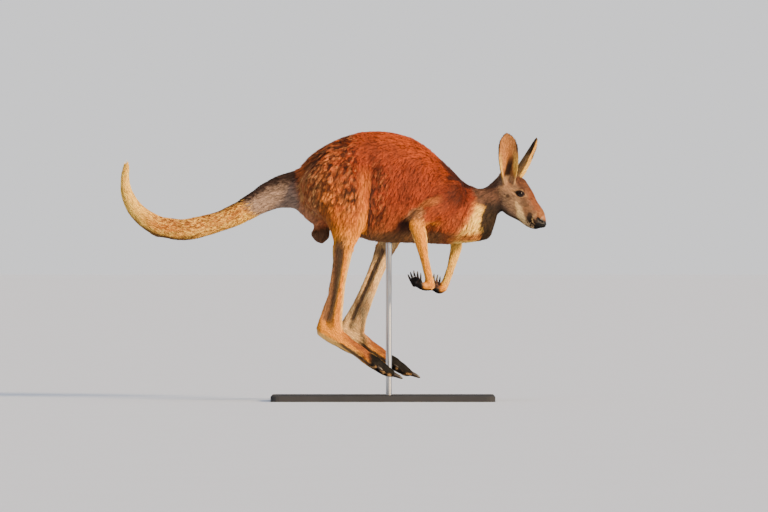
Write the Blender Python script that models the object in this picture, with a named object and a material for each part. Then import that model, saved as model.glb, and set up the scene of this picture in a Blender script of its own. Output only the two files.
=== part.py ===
"""Red kangaroo in full leap, life size, held over a flat base by one rod.

The flesh is modelled whole from lofted forms, fused, and then parted by thin
cuts into the pieces a person would name. Metres, +X forward, +Y the animal's
left, +Z up; Z = 0 is the underside of the stand.
"""
import math

import bmesh
import bpy
from mathutils import Matrix, Vector

for old in list(bpy.data.objects):
    bpy.data.objects.remove(old, do_unlink=True)

# ---------------------------------------------------------------- fit
GAP = 0.0003            # clearance between pieces that touch
COARSE_VOXEL = 0.006    # grain at which the big masses are fused
FINE_VOXEL = 0.004      # grain at which head and limbs are joined to them
FLESH_FACES = 4150      # triangles left in the whole body
SIDES = 28              # points round one loft section

# ---------------------------------------------------------------- trunk
# station x, height of back, height of belly, half width
TRUNK = (
    (-0.272, 0.797, 0.640, 0.054),
    (-0.235, 0.838, 0.604, 0.080),
    (-0.170, 0.880, 0.590, 0.102),
    (-0.102, 0.907, 0.568, 0.116),
    (-0.034, 0.921, 0.543, 0.124),
    (0.051, 0.914, 0.536, 0.124),
    (0.136, 0.883, 0.535, 0.116),
    (0.221, 0.812, 0.530, 0.103),
    (0.289, 0.745, 0.535, 0.084),
    (0.340, 0.724, 0.541, 0.066),
    (0.376, 0.742, 0.557, 0.055),
    (0.391, 0.757, 0.602, 0.050),
    (0.406, 0.775, 0.640, 0.048),
)
BREAST_AT, BREAST_SIZE = (0.235, 0.070, 0.612), (0.082, 0.042, 0.054)
SCROTUM_AT, SCROTUM_SIZE = (-0.202, 0.0, 0.573), (0.033, 0.031, 0.038)

# ---------------------------------------------------------------- tail
# centre x, centre z, half thickness, half width
TAIL = (
    (-0.250, 0.722, 0.074, 0.060),
    (-0.340, 0.711, 0.057, 0.050),
    (-0.408, 0.680, 0.046, 0.043),
    (-0.476, 0.640, 0.040, 0.039),
    (-0.544, 0.611, 0.037, 0.036),
    (-0.650, 0.584, 0.039, 0.036),
    (-0.740, 0.590, 0.037, 0.033),
    (-0.796, 0.619, 0.033, 0.029),
    (-0.838, 0.660, 0.028, 0.025),
    (-0.862, 0.712, 0.022, 0.019),
    (-0.867, 0.762, 0.016, 0.014),
    (-0.860, 0.806, 0.009, 0.009),
)

# ---------------------------------------------------------------- hind legs
# height, rear x, front x, centre y, half width, all for the right leg
THIGH = (
    (0.836, -0.196, -0.090, 0.064, 0.044),
    (0.795, -0.238, -0.036, 0.077, 0.064),
    (0.734, -0.266, -0.022, 0.086, 0.073),
    (0.666, -0.250, -0.030, 0.093, 0.070),
    (0.612, -0.188, -0.044, 0.099, 0.058),
    (0.558, -0.163, -0.066, 0.102, 0.048),
)
SHANK = (
    (0.570, -0.150, -0.060, 0.102, 0.046),
    (0.524, -0.152, -0.086, 0.103, 0.041),
    (0.473, -0.148, -0.101, 0.104, 0.034),
    (0.411, -0.151, -0.114, 0.105, 0.027),
    (0.343, -0.164, -0.122, 0.105, 0.024),
    (0.282, -0.180, -0.127, 0.105, 0.027),
    (0.240, -0.180, -0.125, 0.105, 0.026),
)
TENDON = (
    (0.540, -0.160, -0.120, 0.103, 0.024),
    (0.473, -0.163, -0.140, 0.104, 0.014),
    (0.411, -0.173, -0.155, 0.105, 0.009),
    (0.343, -0.187, -0.168, 0.105, 0.009),
    (0.282, -0.206, -0.186, 0.105, 0.011),
    (0.248, -0.217, -0.186, 0.105, 0.015),
)
WEB_HALF = 0.0065       # skin between tendon and shin bone
# centre x, centre z, half depth, half width of the long foot
FOOT = (
    (-0.198, 0.240, 0.022, 0.022),
    (-0.168, 0.228, 0.029, 0.026),
    (-0.136, 0.211, 0.029, 0.027),
    (-0.108, 0.191, 0.025, 0.026),
    (-0.076, 0.172, 0.022, 0.025),
    (-0.043, 0.146, 0.022, 0.027),
    (-0.014, 0.128, 0.023, 0.028),
)
# x, z, radius along each toe, and its offset outward from the foot's middle
TOES = {
    "4": (((-0.020, 0.131, 0.021), (0.004, 0.115, 0.021),
           (0.026, 0.100, 0.018), (0.041, 0.094, 0.014)), 0.000),
    "5": (((-0.050, 0.147, 0.012), (-0.028, 0.131, 0.012), (-0.012, 0.120, 0.010)), 0.025),
    "2": (((-0.052, 0.150, 0.008), (-0.030, 0.136, 0.008), (-0.014, 0.124, 0.007)), -0.024),
}
TOE_CLAWS = {           # root x, root z, length, radius, side offset
    "4": (0.044, 0.093, 0.036, 0.0085, 0.000),
    "5": (-0.010, 0.119, 0.024, 0.0060, 0.026),
    "3": (-0.012, 0.124, 0.014, 0.0032, -0.021),
    "2": (-0.012, 0.123, 0.014, 0.0032, -0.028),
}
HIP_HEIGHT, KNEE_HEIGHT, ANKLE_HEIGHT = 0.790, 0.535, 0.245
LEFT_KNEE_LEAD = 0.148   # how far the left knee is ahead of the right
LEFT_ANKLE_LEAD = 0.074
LEFT_TOE_LEAD = 0.060
LEFT_HEEL_DROP = 0.012

# ---------------------------------------------------------------- arms
# x, y outward, z, half thickness, half width
ARMS = {
    "right": {
        "upper": ((0.250, 0.076, 0.735, 0.040, 0.030), (0.238, 0.090, 0.690, 0.048, 0.034),
                  (0.182, 0.116, 0.648, 0.037, 0.029), (0.122, 0.128, 0.609, 0.026, 0.023)),
        "fore": ((0.120, 0.128, 0.607, 0.025, 0.022), (0.131, 0.128, 0.576, 0.0270, 0.022),
                 (0.140, 0.127, 0.540, 0.0225, 0.020),
                 (0.149, 0.123, 0.492, 0.0165, 0.0155), (0.163, 0.119, 0.432, 0.0150, 0.0140),
                 (0.172, 0.118, 0.392, 0.0150, 0.0160)),
        "palm": ((0.171, 0.118, 0.390, 0.0130, 0.018), (0.150, 0.117, 0.389, 0.0130, 0.022),
                 (0.128, 0.116, 0.398, 0.0115, 0.022)),
        "fingers": ((0.126, 0.399), (-0.30, 0.95)),
        "wrist_cut": (-0.755, -0.656), "sway": 0.050,
    },
    "left": {
        "upper": ((0.250, 0.076, 0.735, 0.040, 0.030), (0.242, 0.090, 0.690, 0.046, 0.034),
                  (0.246, 0.115, 0.635, 0.034, 0.028), (0.256, 0.127, 0.590, 0.026, 0.023)),
        "fore": ((0.255, 0.127, 0.590, 0.026, 0.022), (0.260, 0.125, 0.532, 0.0225, 0.020),
                 (0.250, 0.121, 0.482, 0.0170, 0.0155), (0.235, 0.118, 0.432, 0.0140, 0.0140),
                 (0.219, 0.118, 0.392, 0.0150, 0.0160)),
        "palm": ((0.220, 0.118, 0.388, 0.0130, 0.018), (0.204, 0.117, 0.377, 0.0130, 0.022),
                 (0.189, 0.116, 0.383, 0.0115, 0.022)),
        "fingers": ((0.187, 0.386), (-0.10, 1.0)),
        "wrist_cut": (-0.85, -0.53), "sway": 0.080,
    },
}
FINGER_LENGTH, FINGER_RADIUS = 0.026, 0.0062
FINGER_CLAW_LENGTH, FINGER_CLAW_RADIUS = 0.021, 0.0042
FINGERS = 5

# ---------------------------------------------------------------- head
HEAD_AT = Vector((0.4216, 0.0, 0.7262))
HEAD_PITCH = math.radians(42.0)     # nose below the level
HEAD_YAW = math.radians(-15.0)      # nose turned to the animal's right
# along the head, height of top, height of underside, half width
HEAD = (
    (-0.030, 0.004, -0.052, 0.034),
    (-0.006, 0.046, -0.064, 0.046),
    (0.028, 0.068, -0.069, 0.052),
    (0.058, 0.063, -0.066, 0.050),
    (0.088, 0.055, -0.058, 0.041),
    (0.116, 0.043, -0.050, 0.032),
    (0.152, 0.035, -0.045, 0.0285),
    (0.176, 0.023, -0.033, 0.025),
    (0.188, 0.011, -0.016, 0.017),
)
EYE_AT, EYE_RADIUS = (0.0632, 0.0330, 0.0270), 0.0160
BROW_AT, BROW_SIZE, BROW_TURN = (0.0540, 0.0345, 0.0425), (0.021, 0.0105, 0.0085), -0.25
EAR_LENGTH, EAR_HALF_WIDTH, EAR_THICK = 0.161, 0.036, 0.006
EARS = {                 # base on the head, run of the axis and the way it opens, in the room
    "right": ((-0.006, -0.040, 0.037), (-0.012, -0.36, 1.0), (0.25, -0.96, 0.0)),
    "left": ((-0.012, 0.040, 0.036), (0.655, 0.16, 1.0), (0.97, -0.10, 0.0)),
}

# ---------------------------------------------------------------- stand
BASE_LENGTH, BASE_WIDTH, BASE_THICK = 0.760, 0.420, 0.020
BASE_AT_X = 0.010
ROD_AT_X, ROD_RADIUS = 0.030, 0.010


# ================================================================ helpers
def put_object(name, bm, smooth=True):
    """Make a named object of a bmesh and free the bmesh."""
    bmesh.ops.recalc_face_normals(bm, faces=bm.faces[:])
    mesh = bpy.data.meshes.new(name)
    bm.to_mesh(mesh)
    bm.free()
    for face in mesh.polygons:
        face.use_smooth = smooth
    obj = bpy.data.objects.new(name, mesh)
    bpy.context.scene.collection.objects.link(obj)
    return obj


def spline(rows, steps):
    """Catmull-Rom through rows of equal length, steps per span."""
    out = []
    last = len(rows) - 1
    for i in range(last):
        p0, p1, p2, p3 = rows[max(i - 1, 0)], rows[i], rows[i + 1], rows[min(i + 2, last)]
        for k in range(steps):
            t = k / steps
            out.append([0.5 * (2 * b + (c - a) * t + (2 * a - 5 * b + 4 * c - d) * t * t
                               + (3 * b - a - 3 * c + d) * t ** 3)
                        for a, b, c, d in zip(p0, p1, p2, p3)])
    out.append(list(rows[-1]))
    return out


def loft(bm, sections, sides=SIDES, round_ends=0.7):
    """Closed form through sections (centre, first half axis, second half axis)."""
    def ended(first, inward):
        centre, u, v = first
        out = (centre - inward).normalized()
        reach = min(u.length, v.length) * round_ends
        return [(centre + out * reach * math.sin(a), u * math.cos(a), v * math.cos(a))
                for a in (math.radians(82), math.radians(60), math.radians(32))]

    head = ended(sections[0], sections[1][0])
    tail = ended(sections[-1], sections[-2][0])
    rings = []
    for centre, u, v in head + list(sections) + tail[::-1]:
        rings.append([bm.verts.new(centre + u * math.cos(2 * math.pi * k / sides)
                                   + v * math.sin(2 * math.pi * k / sides))
                      for k in range(sides)])
    for lower, upper in zip(rings, rings[1:]):
        for k in range(sides):
            bm.faces.new((lower[k], lower[(k + 1) % sides], upper[(k + 1) % sides], upper[k]))
    bm.faces.new(rings[0][::-1])
    bm.faces.new(rings[-1])


def upright(rows, steps=4):
    """Sections square to X from (x, top, bottom, half width)."""
    return [(Vector((x, 0, (top + low) / 2)), Vector((0, half, 0)), Vector((0, 0, (top - low) / 2)))
            for x, top, low, half in spline(rows, steps)]


def level(rows, side, lead=None, steps=4):
    """Sections square to Z from (z, rear x, front x, centre y, half width)."""
    out = []
    for z, rear, front, y, half in spline(rows, steps):
        shift = lead(z) if lead else 0.0
        out.append((Vector(((rear + front) / 2 + shift, side * y, z)),
                    Vector(((front - rear) / 2, 0, 0)), Vector((0, half, 0))))
    return out


def along(rows, steps=4):
    """Sections square to the path from (x, y, z, half thickness, half width)."""
    pts = spline(rows, steps)
    out = []
    for i, (x, y, z, thick, half) in enumerate(pts):
        a, b = pts[max(i - 1, 0)], pts[min(i + 1, len(pts) - 1)]
        run = Vector((b[0] - a[0], b[1] - a[1], b[2] - a[2])).normalized()
        across = run.cross(Vector((0, 1, 0))).normalized()
        out.append((Vector((x, y, z)), across * thick, across.cross(run) * half))
    return out


def ball(bm, centre, size, turn=None, sides=20):
    """Ellipsoid of three half sizes."""
    matrix = (Matrix.Translation(Vector(centre)) @ (turn or Matrix.Identity(4))
              @ Matrix.Diagonal((*size, 1.0)))
    bmesh.ops.create_uvsphere(bm, u_segments=sides, v_segments=sides // 2, radius=1.0, matrix=matrix)


def worked(obj, *modifiers):
    """Apply (type, settings) modifiers in order and keep the result as the mesh."""
    for kind, settings in modifiers:
        mod = obj.modifiers.new(kind.title(), kind)
        for key, value in settings.items():
            setattr(mod, key, value)
    graph = bpy.context.evaluated_depsgraph_get()
    made = bpy.data.meshes.new_from_object(obj.evaluated_get(graph))
    obj.modifiers.clear()
    old, obj.data = obj.data, made
    bpy.data.meshes.remove(old)
    return obj


def add_mesh(bm, obj):
    """Add a whole object to a bmesh."""
    bm.from_mesh(obj.data)


def drop(*objects):
    for obj in objects:
        bpy.data.objects.remove(obj, do_unlink=True)


def copy_of(obj, name, grow=0.0):
    """Copy an object, moved out along its normals by grow."""
    twin = obj.copy()
    twin.data = obj.data.copy()
    twin.name = name
    bpy.context.scene.collection.objects.link(twin)
    if grow:
        moved = [v.co + v.normal * grow for v in twin.data.vertices]
        for v, co in zip(twin.data.vertices, moved):
            v.co = co
    return twin


def boolean(obj, other, operation, crossing=False):
    return worked(obj, ("BOOLEAN", {"object": other, "operation": operation, "solver": "EXACT",
                                    "use_self": crossing}))


# ================================================================ forms
def lead_of_left(z):
    """How far the left hind leg is swung ahead of the right at a height."""
    if z >= KNEE_HEIGHT:
        t = min(max((HIP_HEIGHT - z) / (HIP_HEIGHT - KNEE_HEIGHT), 0.0), 1.0)
        return LEFT_KNEE_LEAD * t * t * (3 - 2 * t)
    t = min((KNEE_HEIGHT - z) / (KNEE_HEIGHT - ANKLE_HEIGHT), 1.0)
    return LEFT_KNEE_LEAD + (LEFT_ANKLE_LEAD - LEFT_KNEE_LEAD) * t


def foot_place(side, x, z):
    """Where a point of the right foot comes to on either foot."""
    if side < 0:
        return x, z
    t = min(max((x - FOOT[0][0]) / (TOES["4"][0][-1][0] - FOOT[0][0]), 0.0), 1.0)
    return (x + LEFT_ANKLE_LEAD + (LEFT_TOE_LEAD - LEFT_ANKLE_LEAD) * t,
            z - LEFT_HEEL_DROP * (1 - t))


FOOT_Y = SHANK[-1][3]


def hind_leg(bm, side):
    lead = lead_of_left if side > 0 else None
    loft(bm, level(SHANK, side, lead))
    loft(bm, level(TENDON, side, lead))
    web = [(z, rear + 0.010, front + 0.020, y, WEB_HALF) for z, rear, front, y, half in TENDON]
    loft(bm, level(web, side, lead))
    rows = [(*foot_place(side, x, z), thick, half) for x, z, thick, half in FOOT]
    loft(bm, along([(x, side * FOOT_Y, z, thick, half) for x, z, thick, half in rows]))
    for path, offset in TOES.values():
        rows = []
        for x, z, radius in path:
            px, pz = foot_place(side, x, z)
            rows.append((px, side * (FOOT_Y + offset), pz, radius, radius * 0.95))
        loft(bm, along(rows), sides=16)


def head_matrix():
    return (Matrix.Translation(HEAD_AT) @ Matrix.Rotation(HEAD_YAW, 4, "Z")
            @ Matrix.Rotation(HEAD_PITCH, 4, "Y"))


def finger_rows(name, side, number):
    """Path of one finger and the run of its claw, spread like a fan."""
    (root_x, root_z), (run_x, run_z) = ARMS[name]["fingers"]
    spread = (number - (FINGERS - 1) / 2) / ((FINGERS - 1) / 2)
    y = side * (ARMS[name]["palm"][-1][1] + spread * 0.017)
    run = Vector((run_x + spread * 0.30, side * spread * 0.22, run_z)).normalized()
    root = Vector((root_x + spread * 0.012, y, root_z - abs(spread) * 0.003))
    length = FINGER_LENGTH * (1.0 - 0.22 * spread * spread)
    tip = root + run * length
    return root - run * 0.006, tip, run


def arm(bm, name, side):
    sizes = ARMS[name]
    for part in ("upper", "fore", "palm"):
        loft(bm, along([(x, side * y, z, thick, half) for x, y, z, thick, half in sizes[part]]),
             sides=20)
    for number in range(FINGERS):
        root, tip, run = finger_rows(name, side, number)
        worn = FINGER_RADIUS * 0.85
        loft(bm, along([(*root, FINGER_RADIUS, FINGER_RADIUS), (*tip, worn, worn)]), sides=12)


def flesh():
    """The whole body as one closed form."""
    masses = bmesh.new()
    loft(masses, upright(TRUNK))
    loft(masses, along([(x, 0.0, z, thick, half) for x, z, thick, half in TAIL]))
    for side in (-1, 1):
        loft(masses, level(THIGH, side, lead_of_left if side > 0 else None))
        name = "right" if side < 0 else "left"
        loft(masses, along([(x, side * y, z, thick, half)
                            for x, y, z, thick, half in ARMS[name]["upper"]]), sides=20)
        ball(masses, (BREAST_AT[0], side * BREAST_AT[1], BREAST_AT[2]), BREAST_SIZE,
             Matrix.Rotation(0.15, 4, "Y"))
    coarse = worked(put_object("masses", masses),
                    ("REMESH", {"mode": "VOXEL", "voxel_size": COARSE_VOXEL}),
                    ("SMOOTH", {"factor": 0.5, "iterations": 14}))

    whole = bmesh.new()
    add_mesh(whole, coarse)
    drop(coarse)
    ball(whole, SCROTUM_AT, SCROTUM_SIZE)
    for side, name in ((-1, "right"), (1, "left")):
        hind_leg(whole, side)
        arm(whole, name, side)
    place = head_matrix()
    skull = bmesh.new()
    loft(skull, upright(HEAD))
    for side in (-1, 1):
        ball(skull, (BROW_AT[0], side * BROW_AT[1], BROW_AT[2]), BROW_SIZE,
             Matrix.Rotation(BROW_TURN, 4, "Y"))
    skull.transform(place)
    skull_mesh = bpy.data.meshes.new("skull")
    skull.to_mesh(skull_mesh)
    skull.free()
    whole.from_mesh(skull_mesh)
    bpy.data.meshes.remove(skull_mesh)
    body = worked(put_object("flesh", whole),
                  ("REMESH", {"mode": "VOXEL", "voxel_size": FINE_VOXEL}),
                  ("SMOOTH", {"factor": 0.5, "iterations": 3}))

    broad = body.vertex_groups.new(name="broad")
    turn_back = place.inverted()
    for v in body.data.vertices:
        on_head = (turn_back @ v.co).x > -0.03 and v.co.x > 0.38
        on_hand = v.co.z < 0.44 and v.co.x > 0.105 and v.co.z > 0.30
        on_end = v.co.z < 0.46 or v.co.x < -0.80
        share = 0.80 if on_hand else 0.85 if on_head else 0.90 if on_end else 1.0
        broad.add([v.index], share, "REPLACE")
    count = sum(len(f.vertices) - 2 for f in body.data.polygons)
    worked(body, ("DECIMATE", {"ratio": FLESH_FACES / count, "vertex_group": "broad",
                               "vertex_group_factor": 1.0, "use_collapse_triangulate": True}))
    body.vertex_groups.clear()
    return body


# ================================================================ parting
def block(point, run, reach, spread, y_from=-0.4, y_to=0.4, place=None):
    """Box beyond a plane through point (x, z), square to run in the side view."""
    ahead = Vector((run[0], 0, run[1])).normalized() * reach
    aside = Vector((-run[1], 0, run[0])).normalized() * spread
    near = Vector((point[0], 0, point[1]))
    bm = bmesh.new()
    corners = [bm.verts.new(near + ahead * a + aside * b + Vector((0, y, 0)))
               for y in (y_from, y_to) for a, b in ((0, -1), (0, 1), (1, 1), (1, -1))]
    low, high = corners[:4], corners[4:]
    bm.faces.new(low)
    bm.faces.new(high)
    for k in range(4):
        bm.faces.new((low[k], low[(k + 1) % 4], high[(k + 1) % 4], high[k]))
    if place:
        bm.transform(place)
    return put_object("cutter", bm, smooth=False)


def side_prism(outline, side, y_from, y_to=0.4):
    """Outline in the side view, drawn out sideways from y_from to y_to."""
    bm = bmesh.new()
    inner = [bm.verts.new((x, side * y_from, z)) for x, z in outline]
    outer = [bm.verts.new((x, side * y_to, z)) for x, z in outline]
    bm.faces.new(inner)
    bm.faces.new(outer)
    count = len(outline)
    for k in range(count):
        bm.faces.new((inner[k], inner[(k + 1) % count], outer[(k + 1) % count], outer[k]))
    return put_object("cutter", bm, smooth=False)


def parted(whole, cutter, name):
    """Part what lies in the cutter from the whole, with a thin gap between."""
    piece = boolean(copy_of(whole, name), cutter, "INTERSECT")
    wide = copy_of(cutter, "wide", GAP * 1.7)
    boolean(whole, wide, "DIFFERENCE")
    drop(cutter, wide)
    return piece


def band(sections, margin):
    """Outline in the side view round sections given as (x, z, half size along u)."""
    sized = [(centre, u * (1 + margin / u.length)) for centre, u, v in sections]
    front = [(centre.x + reach.x, centre.z + reach.z) for centre, reach in sized]
    rear = [(centre.x - reach.x, centre.z - reach.z) for centre, reach in sized]
    return front + rear[::-1]


ARM_SEAM, THIGH_SEAM = 0.0980, 0.050     # how far out the limbs part from the trunk
THIGH_TOP = (0.866, -0.170, -0.100, 0.066, 0.03)    # the thigh's cut runs past it at both ends
THIGH_FOOT = (0.490, -0.163, -0.066, 0.102, 0.048)
NECK_CUT = (0.314, 0.640), (0.967, 0.254)
HEAD_CUT = (0.4097, 0.7072), (0.986, 0.164)
TAIL_CUTS = (
    ("tail_tip", (-0.740, 0.590), (-1.0, 0.15)),
    ("tail_middle", (-0.476, 0.640), (-0.89, -0.45)),
    ("tail_root", (-0.274, 0.718), (-1.0, -0.06)),
)
MOUTH_CUT = (0.135, -0.034), (0.50, -0.866)

body = flesh()
body.name = "trunk"
pieces = {}
for name, point, run in TAIL_CUTS:
    pieces[name] = parted(body, block(point, run, 0.7, 0.5), name)
pieces["head"] = parted(body, block(*HEAD_CUT, 0.4, 0.4), "head")
pieces["neck"] = parted(body, block(*NECK_CUT, 0.4, 0.4), "neck")
pieces["scrotum"] = parted(
    body, block((-0.200, 0.589), (0.33, -0.94), 0.09, 0.042, -0.045, 0.045), "scrotum")

for side, name in ((-1, "right"), (1, "left")):
    inner, outer = sorted((side * 0.020, side * 0.30))
    lead = lead_of_left if side > 0 else (lambda z: 0.0)
    slant = (-0.34, -0.94) if side < 0 else (-0.50, -0.87)
    ankle = (-0.158 + lead(0.282), 0.262)
    knee = (-0.120 + lead(0.522), 0.522)
    pieces["foot_" + name] = parted(
        body, block(ankle, slant, 0.4, 0.30, inner, outer), "foot_" + name)
    pieces["shank_" + name] = parted(
        body, block(knee, (-0.16 if side < 0 else -0.30, -1.0), 0.4, 0.080, inner, outer), "shank_" + name)
    edge = band(level((THIGH_TOP, *THIGH, THIGH_FOOT), side, lead, steps=1), 0.012)
    pieces["thigh_" + name] = parted(body, side_prism(edge, side, THIGH_SEAM), "thigh_" + name)

    sizes = ARMS[name]
    inner, outer = sorted((side * 0.060, side * 0.30))
    wrist = sizes["fore"][-1]
    pieces["hand_" + name] = parted(
        body, block((wrist[0], wrist[2]), sizes["wrist_cut"], 0.12, 0.08, inner, outer), "hand_" + name)
    elbow = sizes["fore"][0]
    inner, outer = sorted((side * ARM_SEAM, side * 0.30))
    lower = Vector(sizes["fore"][1][:3]) - Vector(elbow[:3])
    pieces["forearm_" + name] = parted(
        body, block((elbow[0], elbow[2] - 0.012), (lower.x, lower.z), 0.30, sizes["sway"],
                    inner, outer), "forearm_" + name)
    sections = along(sizes["upper"], steps=2)
    past = sections[-1][0] + (sections[-1][0] - sections[-2][0]).normalized() * 0.030
    edge = band(sections + [(past, *sections[-1][1:])], 0.009)
    pieces["upper_arm_" + name] = parted(body, side_prism(edge, side, ARM_SEAM), "upper_arm_" + name)
pieces["trunk"] = body

# ---------------------------------------------------------------- jaw and eyes
place = head_matrix()
pieces["lower_jaw"] = parted(
    pieces["head"], block(*MOUTH_CUT, 0.08, 0.075, -0.09, 0.09, place), "lower_jaw")
for side, name in ((-1, "right"), (1, "left")):
    for label, radius in (("socket", EYE_RADIUS + GAP), ("eye_" + name, EYE_RADIUS)):
        bm = bmesh.new()
        ball(bm, (EYE_AT[0], side * EYE_AT[1], EYE_AT[2]), (radius,) * 3, sides=14)
        bm.transform(place)
        pieces[label] = put_object(label, bm)
    boolean(pieces["head"], pieces["socket"], "DIFFERENCE")
    drop(pieces.pop("socket"))


# ---------------------------------------------------------------- ears
def ear_shape(t):
    """Half width of the ear along its length, as a share of the widest."""
    if t < 0.6:
        return 0.5 + 0.5 * math.sin(math.pi / 2 * t / 0.6) ** 1.3
    return (1 - ((t - 0.6) / 0.402) ** 3) ** 0.66


def ear(name):
    base, axis, opening = (Vector(v) for v in EARS[name])
    base = head_matrix() @ base
    axis.normalize()
    opening = (opening - axis * opening.dot(axis)).normalized()
    across = axis.cross(opening)
    bm = bmesh.new()
    rows, columns = 10, 7
    grids = []
    for shell in (1, -1):
        grid = []
        for i in range(rows):
            t = math.sin(math.pi / 2 * i / (rows - 1))
            half = EAR_HALF_WIDTH * ear_shape(t)
            cup = math.radians(85 * (1 - t) ** 1.6 + 44)
            radius = half / math.sin(min(cup, math.pi / 2))
            row = []
            for j in range(columns):
                angle = (j / (columns - 1) * 2 - 1) * cup
                edge = 1.0 - 0.55 * (abs(angle) / cup) ** 4
                reach = radius + shell * EAR_THICK / 2 * edge * (1 - 0.35 * t)
                row.append(bm.verts.new(base + axis * (EAR_LENGTH * t - 0.018 * (1 - t))
                                        + across * reach * math.sin(angle)
                                        - opening * (reach * math.cos(angle) - radius)))
            grid.append(row)
        grids.append(grid)
    outer, inner = grids
    for i in range(rows - 1):
        for j in range(columns - 1):
            bm.faces.new((outer[i][j], outer[i][j + 1], outer[i + 1][j + 1], outer[i + 1][j]))
            bm.faces.new((inner[i][j], inner[i + 1][j], inner[i + 1][j + 1], inner[i][j + 1]))
    ring = ([(i, 0) for i in range(rows)] + [(rows - 1, j) for j in range(1, columns)]
            + [(i, columns - 1) for i in range(rows - 2, -1, -1)]
            + [(0, j) for j in range(columns - 2, 0, -1)])
    for (a, b), (c, d) in zip(ring, ring[1:] + ring[:1]):
        bm.faces.new((outer[a][b], outer[c][d], inner[c][d], inner[a][b]))
    return put_object("ear_" + name, bm)


def seated(piece, host):
    """Trim a piece off just before it enters its host, keeping the biggest body."""
    wide = copy_of(host, "wide", GAP * 1.2)
    boolean(piece, wide, "DIFFERENCE", crossing=True)
    drop(wide)
    bm = bmesh.new()
    bm.from_mesh(piece.data)
    left, bodies = set(bm.verts), []
    while left:
        stack = [left.pop()]
        bodies.append(list(stack))
        while stack:
            for edge in stack.pop().link_edges:
                for v in edge.verts:
                    if v in left:
                        left.discard(v)
                        stack.append(v)
                        bodies[-1].append(v)
    biggest = max(bodies, key=len)
    strays = [v for body in bodies if body is not biggest for v in body]
    bmesh.ops.delete(bm, geom=strays, context="VERTS")
    bm.to_mesh(piece.data)
    bm.free()
    return piece


for name in EARS:
    pieces["ear_" + name] = seated(ear(name), pieces["head"])


# ---------------------------------------------------------------- claws
def claw(name, root, run, length, radius, bend, sides=7):
    """Curved horn that starts inside the toe and tapers to a blunt point."""
    run = run.normalized()
    down = (Vector((0, 0, -1)) - run * run.z * -1.0)
    down = down.normalized() if down.length > 0.2 else Vector((-1, 0, 0))
    across = run.cross(down)
    bm = bmesh.new()
    rings = []
    for t, width in ((-0.30, 0.95), (0.12, 1.0), (0.45, 0.86), (0.78, 0.60), (1.0, 0.22)):
        centre = root + run * length * t + down * bend * length * max(t, 0.0) ** 2
        rings.append([bm.verts.new(centre + radius * width
                                   * (across * math.cos(a) * 0.8 + down * math.sin(a)))
                      for a in (2 * math.pi * k / sides for k in range(sides))])
    for lower, upper in zip(rings, rings[1:]):
        for k in range(sides):
            bm.faces.new((lower[k], lower[(k + 1) % sides], upper[(k + 1) % sides], upper[k]))
    bm.faces.new(rings[0][::-1])
    bm.faces.new(rings[-1])
    return put_object(name, bm)


for side, name in ((-1, "right"), (1, "left")):
    for toe, (x, z, length, radius, offset) in TOE_CLAWS.items():
        px, pz = foot_place(side, x, z)
        run = Vector((1.0, 0.0, -0.35 if toe == "4" else -0.55))
        label = f"toe_claw_{toe}_{name}"
        piece = claw(label, Vector((px, side * (FOOT_Y + offset), pz)), run, length, radius, 0.10)
        pieces[label] = seated(piece, pieces["foot_" + name])
    for number in range(FINGERS):
        root, tip, run = finger_rows(name, side, number)
        label = f"finger_claw_{number + 1}_{name}"
        piece = claw(label, tip, run, FINGER_CLAW_LENGTH, FINGER_CLAW_RADIUS, -0.12, sides=6)
        pieces[label] = seated(piece, pieces["hand_" + name])

# ---------------------------------------------------------------- stand
bm = bmesh.new()
bmesh.ops.create_cube(bm, size=1.0, matrix=Matrix.Translation((BASE_AT_X, 0, BASE_THICK / 2))
                      @ Matrix.Diagonal((BASE_LENGTH, BASE_WIDTH, BASE_THICK, 1)))
corners = [e for e in bm.edges if abs(e.verts[0].co.z - e.verts[1].co.z) > 0.01]
bmesh.ops.bevel(bm, geom=corners, offset=0.030, segments=4, affect="EDGES", profile=0.5)
rim = [e for e in bm.edges if min(v.co.z for v in e.verts) > BASE_THICK - 1e-5]
bmesh.ops.bevel(bm, geom=rim, offset=0.003, segments=1, affect="EDGES", profile=0.5)
pieces["stand_base"] = put_object("stand_base", bm, smooth=False)

bm = bmesh.new()
rod_foot, rod_top = BASE_THICK + GAP, 0.580
bmesh.ops.create_cone(bm, cap_ends=True, segments=20, radius1=ROD_RADIUS, radius2=ROD_RADIUS,
                      depth=rod_top - rod_foot,
                      matrix=Matrix.Translation((ROD_AT_X, 0, (rod_top + rod_foot) / 2)))
pieces["stand_rod"] = seated(put_object("stand_rod", bm, smooth=False), pieces["trunk"])

# ================================================================ colours
# linear base colour, roughness, metallic
COLOURS = {
    "rust": ((0.42, 0.105, 0.028), 0.9, 0.0),
    "buff": ((0.56, 0.27, 0.09), 0.9, 0.0),
    "cream": ((0.72, 0.50, 0.26), 0.9, 0.0),
    "grizzled": ((0.27, 0.15, 0.085), 0.9, 0.0),
    "ear": ((0.22, 0.12, 0.06), 0.85, 0.0),
    "skin": ((0.18, 0.11, 0.07), 0.8, 0.0),
    "eye": ((0.006, 0.004, 0.003), 0.08, 0.0),
    "claw": ((0.012, 0.010, 0.009), 0.35, 0.0),
    "stand": ((0.030, 0.031, 0.033), 0.45, 0.0),
    "steel": ((0.45, 0.45, 0.46), 0.30, 1.0),
}
WORN_BY = (
    ("toe_claw", "claw"), ("finger_claw", "claw"), ("eye", "eye"), ("ear", "ear"),
    ("stand_base", "stand"), ("stand_rod", "steel"), ("scrotum", "skin"),
    ("head", "grizzled"), ("lower_jaw", "grizzled"), ("neck", "rust"), ("trunk", "rust"),
    ("thigh", "rust"), ("upper_arm", "rust"), ("tail_root", "grizzled"),
    ("tail", "buff"), ("shank", "buff"), ("forearm", "buff"), ("foot", "buff"), ("hand", "claw"),
)

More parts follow.
